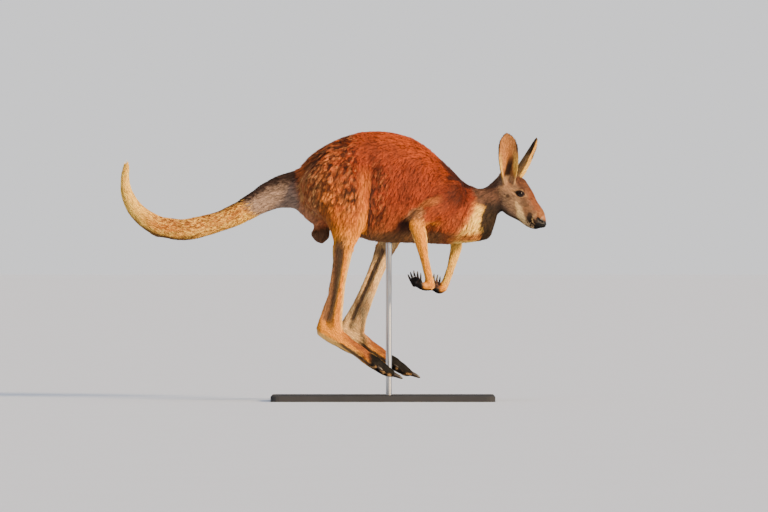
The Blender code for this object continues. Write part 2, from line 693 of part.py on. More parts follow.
for name, piece in pieces.items():
    piece.name = name
    colour, roughness, metallic = next(COLOURS[c] for start, c in WORN_BY if name.startswith(start))
    material = bpy.data.materials.new(name + "_finish")
    material.use_nodes = True
    shader = material.node_tree.nodes["Principled BSDF"]
    shader.inputs["Base Color"].default_value = (*colour, 1.0)
    shader.inputs["Roughness"].default_value = roughness
    shader.inputs["Metallic"].default_value = metallic
    material.diffuse_color = (*colour, 1.0)
    piece.data.materials.clear()
    piece.data.materials.append(material)
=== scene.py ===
"""Looks of the leaping red kangaroo: skin, coat, eyes, claws and stand.

Metres, +X forward, +Y the animal's left, +Z up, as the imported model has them.
"""
import math

import bmesh
import bpy
import numpy as np
from mathutils import Matrix, Vector
from mathutils.bvhtree import BVHTree
from mathutils.kdtree import KDTree


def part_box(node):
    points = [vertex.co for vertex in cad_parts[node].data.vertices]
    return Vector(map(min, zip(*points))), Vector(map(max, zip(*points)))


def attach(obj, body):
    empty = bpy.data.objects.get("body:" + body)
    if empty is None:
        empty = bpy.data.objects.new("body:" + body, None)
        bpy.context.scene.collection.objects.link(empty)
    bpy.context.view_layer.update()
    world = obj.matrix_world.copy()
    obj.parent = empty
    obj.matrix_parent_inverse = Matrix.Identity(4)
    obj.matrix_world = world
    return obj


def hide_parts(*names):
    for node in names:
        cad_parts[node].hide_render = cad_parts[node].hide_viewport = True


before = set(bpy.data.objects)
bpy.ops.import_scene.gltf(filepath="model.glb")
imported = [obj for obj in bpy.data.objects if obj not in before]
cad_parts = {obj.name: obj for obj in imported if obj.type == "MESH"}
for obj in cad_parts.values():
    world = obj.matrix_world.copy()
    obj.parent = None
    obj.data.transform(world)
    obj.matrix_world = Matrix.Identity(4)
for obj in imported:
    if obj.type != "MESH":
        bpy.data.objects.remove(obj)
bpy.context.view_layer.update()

# ================================================================ skin
# The body form over which the coat is laid: one closed skin of cast resin, sanded fair,
# a coat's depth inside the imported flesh, with no seam where the flesh parts meet.
SKIN_GRAIN = 0.0026         # cell of the fused skin
FAIR_ROUNDS = 260           # rounds of sanding that take the facets out of the flesh parts
GIVE_BACK_ROUNDS = 160      # rounds that even out what the sanding took, before it is given back
# the flesh parts are swelled so that they fuse and leave no clefts
SWELL = {"trunk": 0.0028, "thigh": 0.0028, "neck": 0.0020, "upper_arm": 0.0022, "tail_root": 0.0020,
         "ear": 0.0022}
LEAST_SWELL = 0.0006
EYE_RADIUS, LID_OVER_BALL = 0.0160, 0.0012
TENDON_DEPTH = 0.0050       # hollow before the heel tendon
FLESH = [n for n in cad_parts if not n.startswith(("eye", "finger_claw", "toe_claw", "stand"))]
# depth of the skin under the swelled flesh and how fair the form is sanded, by part
COAT_DEPTH = {"trunk": 0.0084, "neck": 0.0068, "thigh": 0.0076, "upper_arm": 0.0060, "tail_root": 0.0060,
              "tail_middle": 0.0035, "tail_tip": 0.0022, "shank": 0.0020, "forearm": 0.0026,
              "scrotum": 0.0015, "head": 0.0014, "lower_jaw": 0.0012, "ear": 0.0024, "foot": 0.0012,
              "hand": 0.0006}
FAIRING = {"trunk": 1.0, "neck": 0.8, "thigh": 1.0, "upper_arm": 0.6, "tail_root": 1.0,
           "tail_middle": 0.8, "tail_tip": 0.35, "shank": 0.05, "forearm": 0.08, "scrotum": 0.2,
           "head": 0.08, "lower_jaw": 0.06, "ear": 0.16, "foot": 0.05, "hand": 0.01}


def part_of(node):
    """Name of the body part without its side."""
    return node.replace("_left", "").replace("_right", "")


def mesh_object(name, mesh):
    """An object at the origin that shows a mesh."""
    obj = bpy.data.objects.new(name, mesh)
    bpy.context.scene.collection.objects.link(obj)
    return obj


def mesh_of(bm, name):
    """Turn a bmesh into a new mesh and free it."""
    mesh = bpy.data.meshes.new(name)
    bm.to_mesh(mesh)
    bm.free()
    return mesh


def settled(obj, *modifiers):
    """Apply (type, settings) modifiers in order and keep the result as the mesh."""
    for kind, settings in modifiers:
        modifier = obj.modifiers.new(kind.title(), kind)
        for key, value in settings.items():
            setattr(modifier, key, value)
    graph = bpy.context.evaluated_depsgraph_get()
    made = bpy.data.meshes.new_from_object(obj.evaluated_get(graph))
    obj.modifiers.clear()
    worn, obj.data = obj.data, made
    bpy.data.meshes.remove(worn)


def table_of(items, attribute, width, kind=np.float64):
    """An attribute of all items as one array."""
    out = np.empty(len(items) * width, kind)
    items.foreach_get(attribute, out)
    return out.reshape(-1, width) if width > 1 else out


def points_of(mesh):
    """Places of a mesh's vertices."""
    return table_of(mesh.vertices, "co", 3)


def normals_of(mesh):
    """Unit normals at a mesh's vertices."""
    return table_of(mesh.vertex_normals, "vector", 3)


def move_points(mesh, points):
    """Put a mesh's vertices at new places."""
    mesh.vertices.foreach_set("co", points.ravel())
    mesh.update()


def merged_copy(node):
    """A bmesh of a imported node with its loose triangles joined."""
    bm = bmesh.new()
    bm.from_mesh(bpy.data.objects[node].data)
    bmesh.ops.remove_doubles(bm, verts=bm.verts, dist=1e-5)
    return bm


fused = bmesh.new()
tree_points, tree_faces, tree_parts = [], [], []
for node in FLESH:
    bm = merged_copy(node)
    bm.normal_update()
    base = len(tree_points)
    tree_points += [v.co.copy() for v in bm.verts]
    bm.verts.index_update()
    tree_faces += [[base + v.index for v in f.verts] for f in bm.faces]
    tree_parts += [node] * len(bm.faces)
    for v in bm.verts:
        v.co += v.normal * SWELL.get(part_of(node), LEAST_SWELL)
    swelled = mesh_of(bm, "swelled")
    fused.from_mesh(swelled)
    bpy.data.meshes.remove(swelled)
eyes = {}
for side in ("right", "left"):
    low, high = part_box("eye_" + side)
    eyes[side] = (Vector(low) + Vector(high)) / 2
    bmesh.ops.create_icosphere(fused, subdivisions=4, radius=EYE_RADIUS + LID_OVER_BALL,
                               matrix=Matrix.Translation(eyes[side]))
skin = mesh_object("skin", mesh_of(fused, "skin"))
settled(skin, ("REMESH", {"mode": "VOXEL", "voxel_size": SKIN_GRAIN}))


def outer_shell(mesh):
    """Keep the largest connected surface, which drops voids shut in between the flesh parts."""
    a, b = table_of(mesh.edges, "vertices", 2, np.int32).T
    shell = np.arange(len(mesh.vertices))
    while (shell[a] != shell[b]).any():
        least = np.minimum(shell[a], shell[b])
        np.minimum.at(shell, shell[a], least)
        np.minimum.at(shell, shell[b], least)
        shell = shell[shell]
    stray = np.nonzero(shell != np.bincount(shell).argmax())[0]
    bm = bmesh.new()
    bm.from_mesh(mesh)
    bm.verts.ensure_lookup_table()
    bmesh.ops.delete(bm, geom=[bm.verts[k] for k in stray], context="VERTS")
    bm.to_mesh(mesh)
    bm.free()


outer_shell(skin.data)

# Each skin vertex takes its part from the nearest flesh node.
nearest = BVHTree.FromPolygons(tree_points, tree_faces)
NAMES = sorted({part_of(n) for n in FLESH})
tree_index = [NAMES.index(part_of(node)) for node in tree_parts]


def parts_near(points):
    """Index into NAMES of the flesh part nearest each point."""
    return np.array([tree_index[nearest.find_nearest(p)[2]] for p in points])


def in_groups(obj, name, weights):
    """A vertex group with weights rounded to twentieths."""
    group = obj.vertex_groups.new(name=name)
    steps = np.round(np.clip(weights, 0, 1) * 20).astype(int)
    for step in range(1, 21):
        chosen = np.nonzero(steps == step)[0]
        if len(chosen):
            group.add(chosen.tolist(), step / 20, "REPLACE")


def ramp(values, start, end):
    """Smooth step from 0 at start to 1 at end, which may be the smaller."""
    t = np.clip((values - start) / (end - start), 0.0, 1.0)
    return t * t * (3 - 2 * t)


def evened(values, ends, rounds):
    """Values on the vertices, averaged with their neighbours' over and over."""
    a, b = ends[:, 0], ends[:, 1]
    count = np.bincount(a, minlength=len(values)) + np.bincount(b, minlength=len(values))
    for _ in range(rounds):
        total = np.bincount(a, values[b], len(values)) + np.bincount(b, values[a], len(values))
        values = 0.5 * values + 0.5 * total / np.maximum(count, 1)
    return values


part_index = parts_near([v.co for v in skin.data.vertices])
ends = table_of(skin.data.edges, "vertices", 2, np.int32)
fairing = evened(np.array([FAIRING[n] for n in NAMES])[part_index], ends, 12)
in_groups(skin, "fair", fairing)
faceted = points_of(skin.data)
settled(skin, ("SMOOTH", {"factor": 0.6, "iterations": FAIR_ROUNDS, "vertex_group": "fair"}),
        ("SMOOTH", {"factor": 0.5, "iterations": 3}))
outward = normals_of(skin.data)
shrunk = evened(((faceted - points_of(skin.data)) * outward).sum(axis=1), ends, GIVE_BACK_ROUNDS)
move_points(skin.data, points_of(skin.data) + outward * shrunk[:, None])


def thinned(obj, parts, share):
    """Collapse the skin over some parts to a share of its triangles."""
    index = parts_near([v.co for v in obj.data.vertices])
    chosen = np.isin(index, [NAMES.index(n) for n in parts])
    in_groups(obj, "thinned", chosen)
    corners = table_of(obj.data.loops, "vertex_index", 1, np.int32)
    held = chosen[corners].sum() / len(corners)
    settled(obj, ("DECIMATE", {"ratio": 1 - held * (1 - share), "vertex_group": "thinned",
                               "vertex_group_factor": 0.0, "use_collapse_triangulate": True}))


thinned(skin, ("trunk", "neck", "thigh", "upper_arm", "tail_root", "tail_middle", "tail_tip"), 0.15)
thinned(skin, ("shank", "forearm", "foot", "head", "scrotum"), 0.25)


def spread_parts(mesh, rounds):
    """How far each vertex belongs to each part, evened over the borders."""
    index = parts_near([v.co for v in mesh.vertices])
    links = table_of(mesh.edges, "vertices", 2, np.int32)
    return {name: evened((index == k).astype(float), links, rounds) for k, name in enumerate(NAMES)}


def tendon_hollow(p):
    """1 along the hollow between the shin and the heel tendon, 0 away from it."""
    right = np.abs(p[:, 0] + 0.1335 + 0.180 * (0.530 - p[:, 2])) / 0.024
    left = np.abs(p[:, 0] - 0.010 + 0.441 * (0.513 - p[:, 2])) / 0.010
    along = ramp(p[:, 2], 0.222, 0.262) * ramp(p[:, 2], 0.590, 0.530)
    return ramp(np.where(p[:, 1] < 0, right, left), 1.0, 0.50) * along


# The coat's depth is taken off along the normals, evened out over the parts' borders.
shares = spread_parts(skin.data, 6)
points = points_of(skin.data)
depth = sum(COAT_DEPTH[n] * shares[n] for n in NAMES)
depth += TENDON_DEPTH * tendon_hollow(points) * shares["shank"]
move_points(skin.data, points - normals_of(skin.data) * depth[:, None])
in_groups(skin, "body", sum(shares[n] for n in ("trunk", "neck", "thigh", "upper_arm", "tail_root"))
          + 0.3 * shares["head"] + 0.3 * shares["shank"])
settled(skin, ("SMOOTH", {"factor": 0.5, "iterations": 14, "vertex_group": "body"}))

# ================================================================ face
# Lids, nostrils and the line of the mouth, cut into the cast skin before the coat goes on,
# as the head of a mount is finished by hand in putty.
HEAD_AT, HEAD_PITCH, HEAD_YAW = Vector((0.4216, 0.0, 0.7262)), math.radians(42.0), math.radians(-15.0)
HEAD_PLACE = (Matrix.Translation(HEAD_AT) @ Matrix.Rotation(HEAD_YAW, 4, "Z")
              @ Matrix.Rotation(HEAD_PITCH, 4, "Y"))
LID_HALF_LENGTH, UPPER_LID_REACH, LOWER_LID_REACH = 0.0185, 0.0100, 0.0084    # along the ball
LID_EDGE, LID_FOLD = 0.0012, 0.0052
LID_SLANT = math.radians(24)        # the lids lie flatter than the nose runs
MOUTH_AT, MOUTH_FALL = (0.135, -0.034), (0.50, -0.866)
NOSTRIL = ((0.1800, 0.0040), (0.1725, 0.0010), (0.1670, 0.0035))
NOSTRIL_DEPTH, MOUTH_DEPTH, CLEFT_DEPTH, LIP_SWELL = 0.0052, 0.0024, 0.0012, 0.0008
HEAD_REACH = 0.26                   # nothing further from the head's middle belongs to the face
SIDES = {"right": -1.0, "left": 1.0}


def in_head(points):
    """Points in the head's own frame: along the nose, across, up."""
    turn = np.array(HEAD_PLACE.inverted())
    return points @ turn[:3, :3].T + turn[:3, 3]


def finer(mesh, chosen, cuts):
    """Cut the edges whose ends both pass the test."""
    bm = bmesh.new()
    bm.from_mesh(mesh)
    bm.verts.ensure_lookup_table()
    edges = [e for e in bm.edges if chosen[e.verts[0].index] and chosen[e.verts[1].index]]
    bmesh.ops.subdivide_edges(bm, edges=edges, cuts=cuts, use_grid_fill=True)
    bmesh.ops.triangulate(bm, faces=[f for f in bm.faces if len(f.verts) > 4])
    bm.to_mesh(mesh)
    bm.free()


def eye_gap(points):
    """Distance from points to the middle of the nearer eye."""
    return np.minimum(*[np.linalg.norm(points - np.array(c), axis=1) for c in eyes.values()])


def eased_round_eyes(name, start, end, rounds):
    """Smooth the skin round the eyes, fully within end and not at all beyond start."""
    in_groups(skin, name, ramp(eye_gap(points_of(skin.data)), start, end))
    settled(skin, ("SMOOTH", {"factor": 0.5, "iterations": rounds, "vertex_group": name}))


eased_round_eyes("sockets", 0.045, 0.030, 10)
points = points_of(skin.data)
place = in_head(points)
muzzle = (place[:, 0] > 0.125) & (np.abs(place[:, 1]) < 0.06) & (np.abs(place[:, 2]) < 0.06)
finer(skin.data, (eye_gap(points) < 0.036) | muzzle, 1)
finer(skin.data, eye_gap(points_of(skin.data)) < 0.026, 1)
eased_round_eyes("brow", 0.040, 0.028, 24)


def eye_axes(side):
    """Gaze, lid length and lid height as directions in the room."""
    turn = HEAD_PLACE.to_3x3()
    gaze = (turn @ Vector((0.20, SIDES[side] * 0.95, 0.16))).normalized()
    length = turn @ Vector((math.cos(LID_SLANT), 0.0, math.sin(LID_SLANT)))
    length = (length - gaze * length.dot(gaze)).normalized()
    height = gaze.cross(length) if side == "left" else length.cross(gaze)
    return gaze, length, height * (1 if height.z > 0 else -1)


points = points_of(skin.data)
lid_gap = np.full(len(points), 1.0)
for side, centre in eyes.items():
    gaze, length, height = (np.array(axis) for axis in eye_axes(side))
    away = points - np.array(centre)
    radius = np.linalg.norm(away, axis=1)
    ray = away / radius[:, None]
    ahead, s, t = ray @ gaze, ray @ length, ray @ height
    along_ball = EYE_RADIUS * np.arctan2(np.hypot(s, t), ahead) / np.maximum(np.hypot(s, t), 1e-6)
    s, t = s * along_ball, t * along_ball
    shape = np.clip(1 - (s / LID_HALF_LENGTH) ** 2, 0, 1)
    upper, lower = UPPER_LID_REACH * shape ** 0.62, -LOWER_LID_REACH * shape ** 0.75
    beyond = np.maximum(np.abs(s) - LID_HALF_LENGTH, -1.0)
    gap = np.where(shape > 0, np.maximum(t - upper, lower - t), np.hypot(np.maximum(beyond, 0), t))
    here = (ahead > 0.05) & (radius < 0.040)
    lid_gap = np.where(here, np.minimum(lid_gap, gap), lid_gap)
    rim = EYE_RADIUS + LID_EDGE
    outside = rim + (np.maximum(rim, radius) - rim) * ramp(gap, 0.0008, 0.0050)
    outside -= 0.0013 * np.exp(-((gap - LID_FOLD) / 0.0011) ** 2) * ramp(t, 0.001, 0.004)
    inside = EYE_RADIUS - 0.003
    wanted = inside + (outside - inside) * ramp(gap, -0.0010, 0.0002)
    made = np.where(here, radius + (wanted - radius) * ramp(ahead, 0.0, 0.30), radius)
    points = np.array(centre) + ray * made[:, None]
move_points(skin.data, points)


def run_gap(place, path):
    """Distance from points in the head's side view to a short path."""
    gap = np.full(len(place), 1.0)
    for (a0, b0), (a1, b1) in zip(path, path[1:]):
        run = np.array((a1 - a0, b1 - b0))
        away = place[:, (0, 2)] - np.array((a0, b0))
        t = np.clip(away @ run / (run @ run), 0, 1)
        gap = np.minimum(gap, np.linalg.norm(away - t[:, None] * run, axis=1))
    return gap


place = in_head(points)
nostril = ramp(run_gap(place, NOSTRIL), 0.0052, 0.0014) * (place[:, 0] > 0.15)
nostril *= ramp(np.abs(place[:, 1]), 0.006, 0.011)
away = (place[:, 0] - MOUTH_AT[0]) * MOUTH_FALL[0] + (place[:, 2] - MOUTH_AT[1]) * MOUTH_FALL[1]
on_head = np.linalg.norm(points - np.array(HEAD_AT), axis=1) < HEAD_REACH
mouth = np.exp(-(away / 0.0013) ** 2) * ramp(place[:, 0], 0.135, 0.142) * on_head
lips = np.exp(-((np.abs(away) - 0.0045) / 0.0028) ** 2) * ramp(place[:, 0], 0.132, 0.145) * on_head
cleft = np.exp(-(place[:, 1] / 0.0013) ** 2) * ramp(place[:, 0], 0.176, 0.182) * on_head
carve = NOSTRIL_DEPTH * nostril * on_head + MOUTH_DEPTH * mouth - LIP_SWELL * lips + CLEFT_DEPTH * cleft
move_points(skin.data, points - normals_of(skin.data) * carve[:, None])

# ================================================================ markings
# The colours of the living animal's hair, one rule for each part, with painted shade, shadow and
# highlight laid into some of the rules. The skin is stained with them and every tuft is dyed with
# the same rule at its root, as a mount keeps its own pelt.
RUST, DEEP_RUST, BACK_RUST, FLANK = "#943917", "#6a2812", "#b44c18", "#a8582c"
RUMP, RUMP_DARK_AND_SHADE, THIGH_TAN, LEG_GOLD = "#b26030", "#26100a", "#cc7222", "#f09a26"
LEG_PALE, LEG_INNER, CREAM, BELLY_IN_PAINTED_SHADE = "#fad07c", "#f4cc90", "#ffce62", "#845a36"
TAIL_GREY_IN_PAINTED_SHADOW, TAIL_DARK, TAIL_GOLD, TAIL_PALE = "#988070", "#220f0a", "#b87830", "#ffcc5c"
CHEEK, FOREHEAD, MUZZLE_TOP, MUZZLE_SIDE = "#94745a", "#4e200a", "#864420", "#805a3e"
STRIPE, WHISKER_PATCH, NOSE, LIP_PALE = "#ffd898", "#120b09", "#0a0808", "#c8a470"
NAPE, EAR_BACK, EAR_INSIDE = "#785842", "#94744c", "#d08e50"
EAR_RIM, EAR_CANAL = "#32241a", "#180c08"
LID_DARK, LID_PALE = "#120d0b", "#d09c64"
HAND_BLACK, PALM, TOE_BLACK, FOOT_RUST, SOLE = "#0e0a08", "#6c4a38", "#090706", "#985224", "#54402f"
TENDON_PAINTED_SHADE = "#5e4a3e"
SCROTUM, SHOULDER, PAINTED_ARM_SHADOW, PAINTED_THROAT_SHADOW = "#6e4a32", "#7c3014", "#240c08", "#221610"


def linear(hex_colour):
    """sRGB hex to linear red, green, blue."""
    parts = [int(hex_colour[i:i + 2], 16) / 255 for i in (1, 3, 5)]
    return np.array([c / 12.92 if c <= 0.04045 else ((c + 0.055) / 1.055) ** 2.4 for c in parts])


def plain(shade, p):
    """One shade for every point."""
    return np.tile(linear(shade), (len(p), 1))


def dyed(colours, *coats):
    """Lay coats over colours in turn, dye and painted shade alike, each a shade and its amount from 0 to 1.
    """
    for shade, amount in coats:
        share = np.clip(amount, 0, 1)[:, None]
        colours = colours * (1 - share) + linear(shade) * share
    return colours


def clouds(points, size, seed, stretch=(1, 1, 1)):
    """Smooth random field from 0 to 1 with patches of about the given size."""
    rng = np.random.default_rng(seed)
    table = rng.random(4096)
    q = points / (np.array(stretch) * size) + rng.random(3) * 64
    cell = np.floor(q).astype(int)
    f = q - cell
    f = f * f * (3 - 2 * f)
    total = np.zeros(len(points))
    for dx in (0, 1):
        for dy in (0, 1):
            for dz in (0, 1):
                key = ((cell[:, 0] + dx) * 73856093 ^ (cell[:, 1] + dy) * 19349663
                       ^ (cell[:, 2] + dz) * 83492791) % 4096
                weight = (np.where(dx, f[:, 0], 1 - f[:, 0]) * np.where(dy, f[:, 1], 1 - f[:, 1])
                          * np.where(dz, f[:, 2], 1 - f[:, 2]))
                total += weight * table[key]
    return total


def spot(place, a, b, reach):
    """Round soft spot in the head's side view."""
    return ramp(np.hypot(place[:, 0] - a, place[:, 2] - b), reach, reach * 0.45)


def forward(p):
    """How far forward of the right leg a point lies: the left leg stands a stride ahead."""
    return p[:, 0] - np.where(p[:, 1] > 0, 0.148 * ramp(p[:, 2], 0.79, 0.535), 0.0)


def fold_gap(p):
    """Distance before the fold where the thigh's hair meets the flank's."""
    return forward(p) + 0.0325 - 0.079 * (p[:, 2] - 0.70)


def roughness(p):
    """How rough the hair is: roughest on the rump, less along the fold before the thigh."""
    x, z = forward(p), p[:, 2]
    rump = ramp(x, -0.062, -0.090) * ramp(x, -0.265, -0.215) * ramp(z + 0.3 * (x + 0.1), 0.60, 0.68)
    fold = 0.75 * ramp(fold_gap(p), -0.002, 0.006) * ramp(fold_gap(p), 0.085, 0.030)
    return np.maximum(rump, fold * ramp(z, 0.57, 0.62) * ramp(z, 0.84, 0.76))


def clumped(p, colour):
    """Dark roots with painted shade between the rough locks of rump and flank, and painted highlights on
    their tips.
    """
    speckle = ramp(clouds(p, 0.0085, 12, (0.9, 1, 1.5)), 0.50, 0.60)
    streaks = ramp(clouds(p, 0.0050, 14, (0.7, 1, 2.6)), 0.50, 0.68)
    return dyed(
        colour,
        # dark roots, and painted shade in the gaps between the locks
        (RUMP_DARK_AND_SHADE, 0.78 * speckle * roughness(p)),
        # painted highlight on the tips of the locks
        ("#d88a4c", 0.45 * ramp(clouds(p, 0.0065, 15), 0.56, 0.68) * roughness(p)),
        (DEEP_RUST, 0.42 * streaks),
    )


def with_painted_fold_shade(p, colour):
    """Painted shade in the fold before the thigh: a dark line in the crease and a darker band beside it."""
    gap = fold_gap(p)
    tall = ramp(p[:, 2], 0.820, 0.760) * ramp(p[:, 2], 0.565, 0.600)
    line = np.exp(-((gap - 0.001) / 0.0050) ** 2) * (0.35 + 0.65 * ramp(p[:, 2], 0.77, 0.70))
    return dyed(
        colour,
        (DEEP_RUST, 0.45 * ramp(gap, 0.034, 0.008) * ramp(gap, -0.004, 0.002) * tall),
        (RUMP_DARK_AND_SHADE, 0.95 * line * tall),
    )


def body_colour(p, n, side):
    """Trunk: rust back lightened as painted light where it faces up, paler flank, brown belly darkened
    with painted shade, dark clumps on the rump and the arm's painted shadow behind the elbow.
    """
    x, z = p[:, 0], p[:, 2]
    colour = dyed(
        plain(RUST, p),
        # the back's rust, lighter where it faces up: painted light on its top
        (BACK_RUST, 0.85 * ramp(n[:, 2], 0.2, 0.85)),
        (DEEP_RUST, 0.50 * ramp(clouds(p, 0.045, 11, (0.8, 1, 1.5)), 0.50, 0.80)),
        (FLANK, 0.75 * ramp(z, 0.70, 0.58) * ramp(x, -0.20, 0.0)),
        (RUMP, 0.8 * ramp(x, -0.09, -0.22)),
    )
    elbow_patch = ramp(np.hypot(x - 0.122, z - 0.634), 0.032, 0.016) * ramp(np.abs(n[:, 1]), 0.3, 0.6)
    colour = dyed(
        with_painted_fold_shade(p, clumped(p, colour)),
        # painted shadow of the arm on the flank behind the elbow
        (PAINTED_ARM_SHADOW, 0.90 * ramp(x, 0.052, 0.080) * ramp(x, 0.125, 0.105) * ramp(z, 0.652, 0.610)
         * ramp(z, 0.52, 0.55) * ramp(np.abs(n[:, 1]), 0.2, 0.5)),
        ("#b8865c", 0.75 * elbow_patch),  # worn hair behind the elbow
        # the belly's brown, darkened with painted shade, low on the trunk and where it faces down
        (BELLY_IN_PAINTED_SHADE, ramp(z - 0.10 * np.maximum(0.20 - x, 0), 0.585, 0.560) * ramp(x, 0.08, 0.13)),
        (BELLY_IN_PAINTED_SHADE, ramp(n[:, 2], -0.40, -0.85) * ramp(z, 0.62, 0.57)),
    )
    colour = painted_shoulder_shadow(p, n, breast_marked_and_shaded(p, n, colour))
    return dyed(colour, ("#b47e5a", 0.75 * ramp(x, -0.17, -0.24) * ramp(z, 0.74, 0.66)))


def painted_shoulder_shadow(p, n, colour):
    """Painted shadow in a dark line along the top of the shoulders."""
    line = ramp(n[:, 1], -0.54, -0.36) * ramp(n[:, 1], 0.54, 0.36) * ramp(n[:, 2], 0.1, 0.4)
    along = ramp(p[:, 0], 0.185, 0.225) * ramp(p[:, 0], 0.345, 0.305)
    # painted shadow along the top of the shoulders
    return dyed(colour, ("#2a0f08", 0.88 * line * along))


def breast_marked_and_shaded(p, n, colour):
    """Cream bib with a ragged slanting edge, brown nape, the head's painted shadow on the throat, a rusty
    fringe below.
    """
    x, z = p[:, 0], p[:, 2]
    ragged = 0.016 * (clouds(p, 0.010, 23) - 0.5)
    patch = ramp(np.hypot(x - 0.268, (z - 0.705) * 0.85) + ragged, 0.046, 0.022)
    nape = ramp(x + ragged + 0.20 * (z - 0.70), 0.316, 0.336)
    nape *= ramp(z + ragged + 0.4 * (x - 0.36), 0.640, 0.672)
    bib = z - (0.556 + 1.55 * (x - 0.262)) + ragged
    within = (1 - nape) * ramp(x, 0.225, 0.262)
    streaks = ramp(clouds(p, 0.007, 26, (0.8, 1, 2.0)), 0.54, 0.68)
    head_shadow_on_throat = ramp(x - 0.16 * (z - 0.60) + 1.2 * ragged, 0.340, 0.355) * ramp(z, 0.70, 0.66)
    fringe = ramp(z + 0.012 * (clouds(p, 0.006, 21) - 0.5) - 0.10 * (x - 0.30), 0.580, 0.570)
    fringe *= ramp(x, 0.222, 0.245) * ramp(x + ragged, 0.352, 0.342) * ramp(n[:, 2], -0.98, -0.8)
    return dyed(
        colour,
        (DEEP_RUST, 0.45 * ramp(x, 0.19, 0.24) * ramp(z, 0.665, 0.70)),
        ("#983e16", 0.55 * ramp(z, 0.67, 0.60) * ramp(x, 0.19, 0.24)),  # lower shoulder
        ("#4c1a08", 0.70 * patch),  # dark patch of the shoulder
        ("#624636", 0.92 * nape),  # brown nape
        ("#46301e", 0.50 * nape * ramp(clouds(p, 0.009, 25), 0.50, 0.65)),  # its darker flecks
        ("#d08040", 0.80 * ramp(bib, 0.042, 0.004) * within),  # tawny edge of the bib
        (CREAM, 0.96 * ramp(bib, 0.014, -0.018) * within),
        ("#e0a050", 0.45 * streaks * within * ramp(bib, 0.010, -0.01)),  # golden streaks in the bib
        # painted shadow of the head on the throat and the front of the chest
        (PAINTED_THROAT_SHADOW, 0.985 * head_shadow_on_throat),
        ("#c87a38", 0.90 * fringe),  # fringe below the breast
        ("#5a2a10", 0.70 * fringe * ramp(clouds(p, 0.0055, 27), 0.50, 0.62)),  # gaps in the fringe
    )


def neck_colour(p, n, side):
    """Neck: dark rust above with a painted shadow along the top, the breast's markings and the head's
    painted shadow below and in front.
    """
    colour = dyed(plain(SHOULDER, p), (DEEP_RUST, 0.45 * ramp(clouds(p, 0.012, 22), 0.45, 0.75)))
    return painted_shoulder_shadow(p, n, breast_marked_and_shaded(p, n, colour))


def thigh_colour(p, n, side):
    """Thigh: rust shading into tan below, golden behind, pale on the inner side, with painted shade in
    the fold before it, the hollow under the rump and the hollow before the heel tendon.
    """
    z, back, gap = p[:, 2], forward(p), fold_gap(p)
    front = ramp(gap, 0.003, -0.005)
    colour = dyed(
        plain(RUST, p),
        (RUMP, 0.9 * ramp(back, -0.08, -0.18)),
        (THIGH_TAN, 0.95 * front * ramp(z + 0.4 * (back + 0.08), 0.78, 0.62)),
        (THIGH_TAN, 0.75 * front * ramp(back, -0.085, -0.060) * ramp(z, 0.82, 0.73)),
    )
    behind = ramp(back, -0.185, -0.220) * ramp(z, 0.84, 0.78)
    colour = dyed(
        clumped(p, colour),
        ("#9a5c38", 0.85 * behind),  # back of the thigh
        # its pale flecks
        ("#e4a868", 0.60 * behind * ramp(clouds(p, 0.007, 33, (0.8, 1, 1.6)), 0.52, 0.66)),
        # painted shade in the hollow under the rump
        ("#6a4426", 0.45 * ramp(back, -0.150, -0.175) * ramp(z, 0.70, 0.63) * ramp(z, 0.57, 0.60)),
        (BACK_RUST, 0.3 * ramp(clouds(p, 0.02, 24), 0.5, 0.7) * ramp(z, 0.60, 0.66)),
        (LEG_GOLD, ramp(z, 0.62, 0.53)),
        (LEG_GOLD, 0.60 * ramp(np.abs(gap + 0.020), 0.020, 0.005) * ramp(z, 0.68, 0.60)),
    )
    return dyed(
        with_painted_fold_shade(p, colour),
        (LEG_INNER, ramp(n[:, 1] * side, -0.1, -0.6) * ramp(z, 0.66, 0.58)),
        # painted shade in the hollow before the heel tendon
        (TENDON_PAINTED_SHADE, 0.8 * tendon_hollow(p) * ramp(n[:, 1] * side, 0.2, 0.5)),
    )


def shank_colour(p, n, side):
    """Shank: gold outside, pale along its edges, cream inside, painted shade along the hollow before the
    tendon and the belly's painted shadow on top of the left shank.
    """
    return dyed(
        plain(LEG_GOLD, p),
        (THIGH_TAN, 0.35 * ramp(np.abs(n[:, 1]), 0.7, 0.95)),
        (LEG_PALE, 0.75 * ramp(np.abs(n[:, 0]), 0.55, 0.95)),
        (LEG_INNER, 0.9 * ramp(n[:, 1] * side, 0.0, -0.55)),
        ("#6e4c38", 0.55 * ramp(p[:, 2], 0.485, 0.510) * (side > 0)),  # painted shadow of the belly on top of the left shank
        (FOOT_RUST, 0.30 * ramp(clouds(p, 0.012, 31, (0.7, 1, 2.5)), 0.5, 0.7)),
        # painted shade in the hollow before the heel tendon
        (TENDON_PAINTED_SHADE, 0.82 * tendon_hollow(p) * ramp(np.abs(n[:, 1]), 0.2, 0.5)),
    )


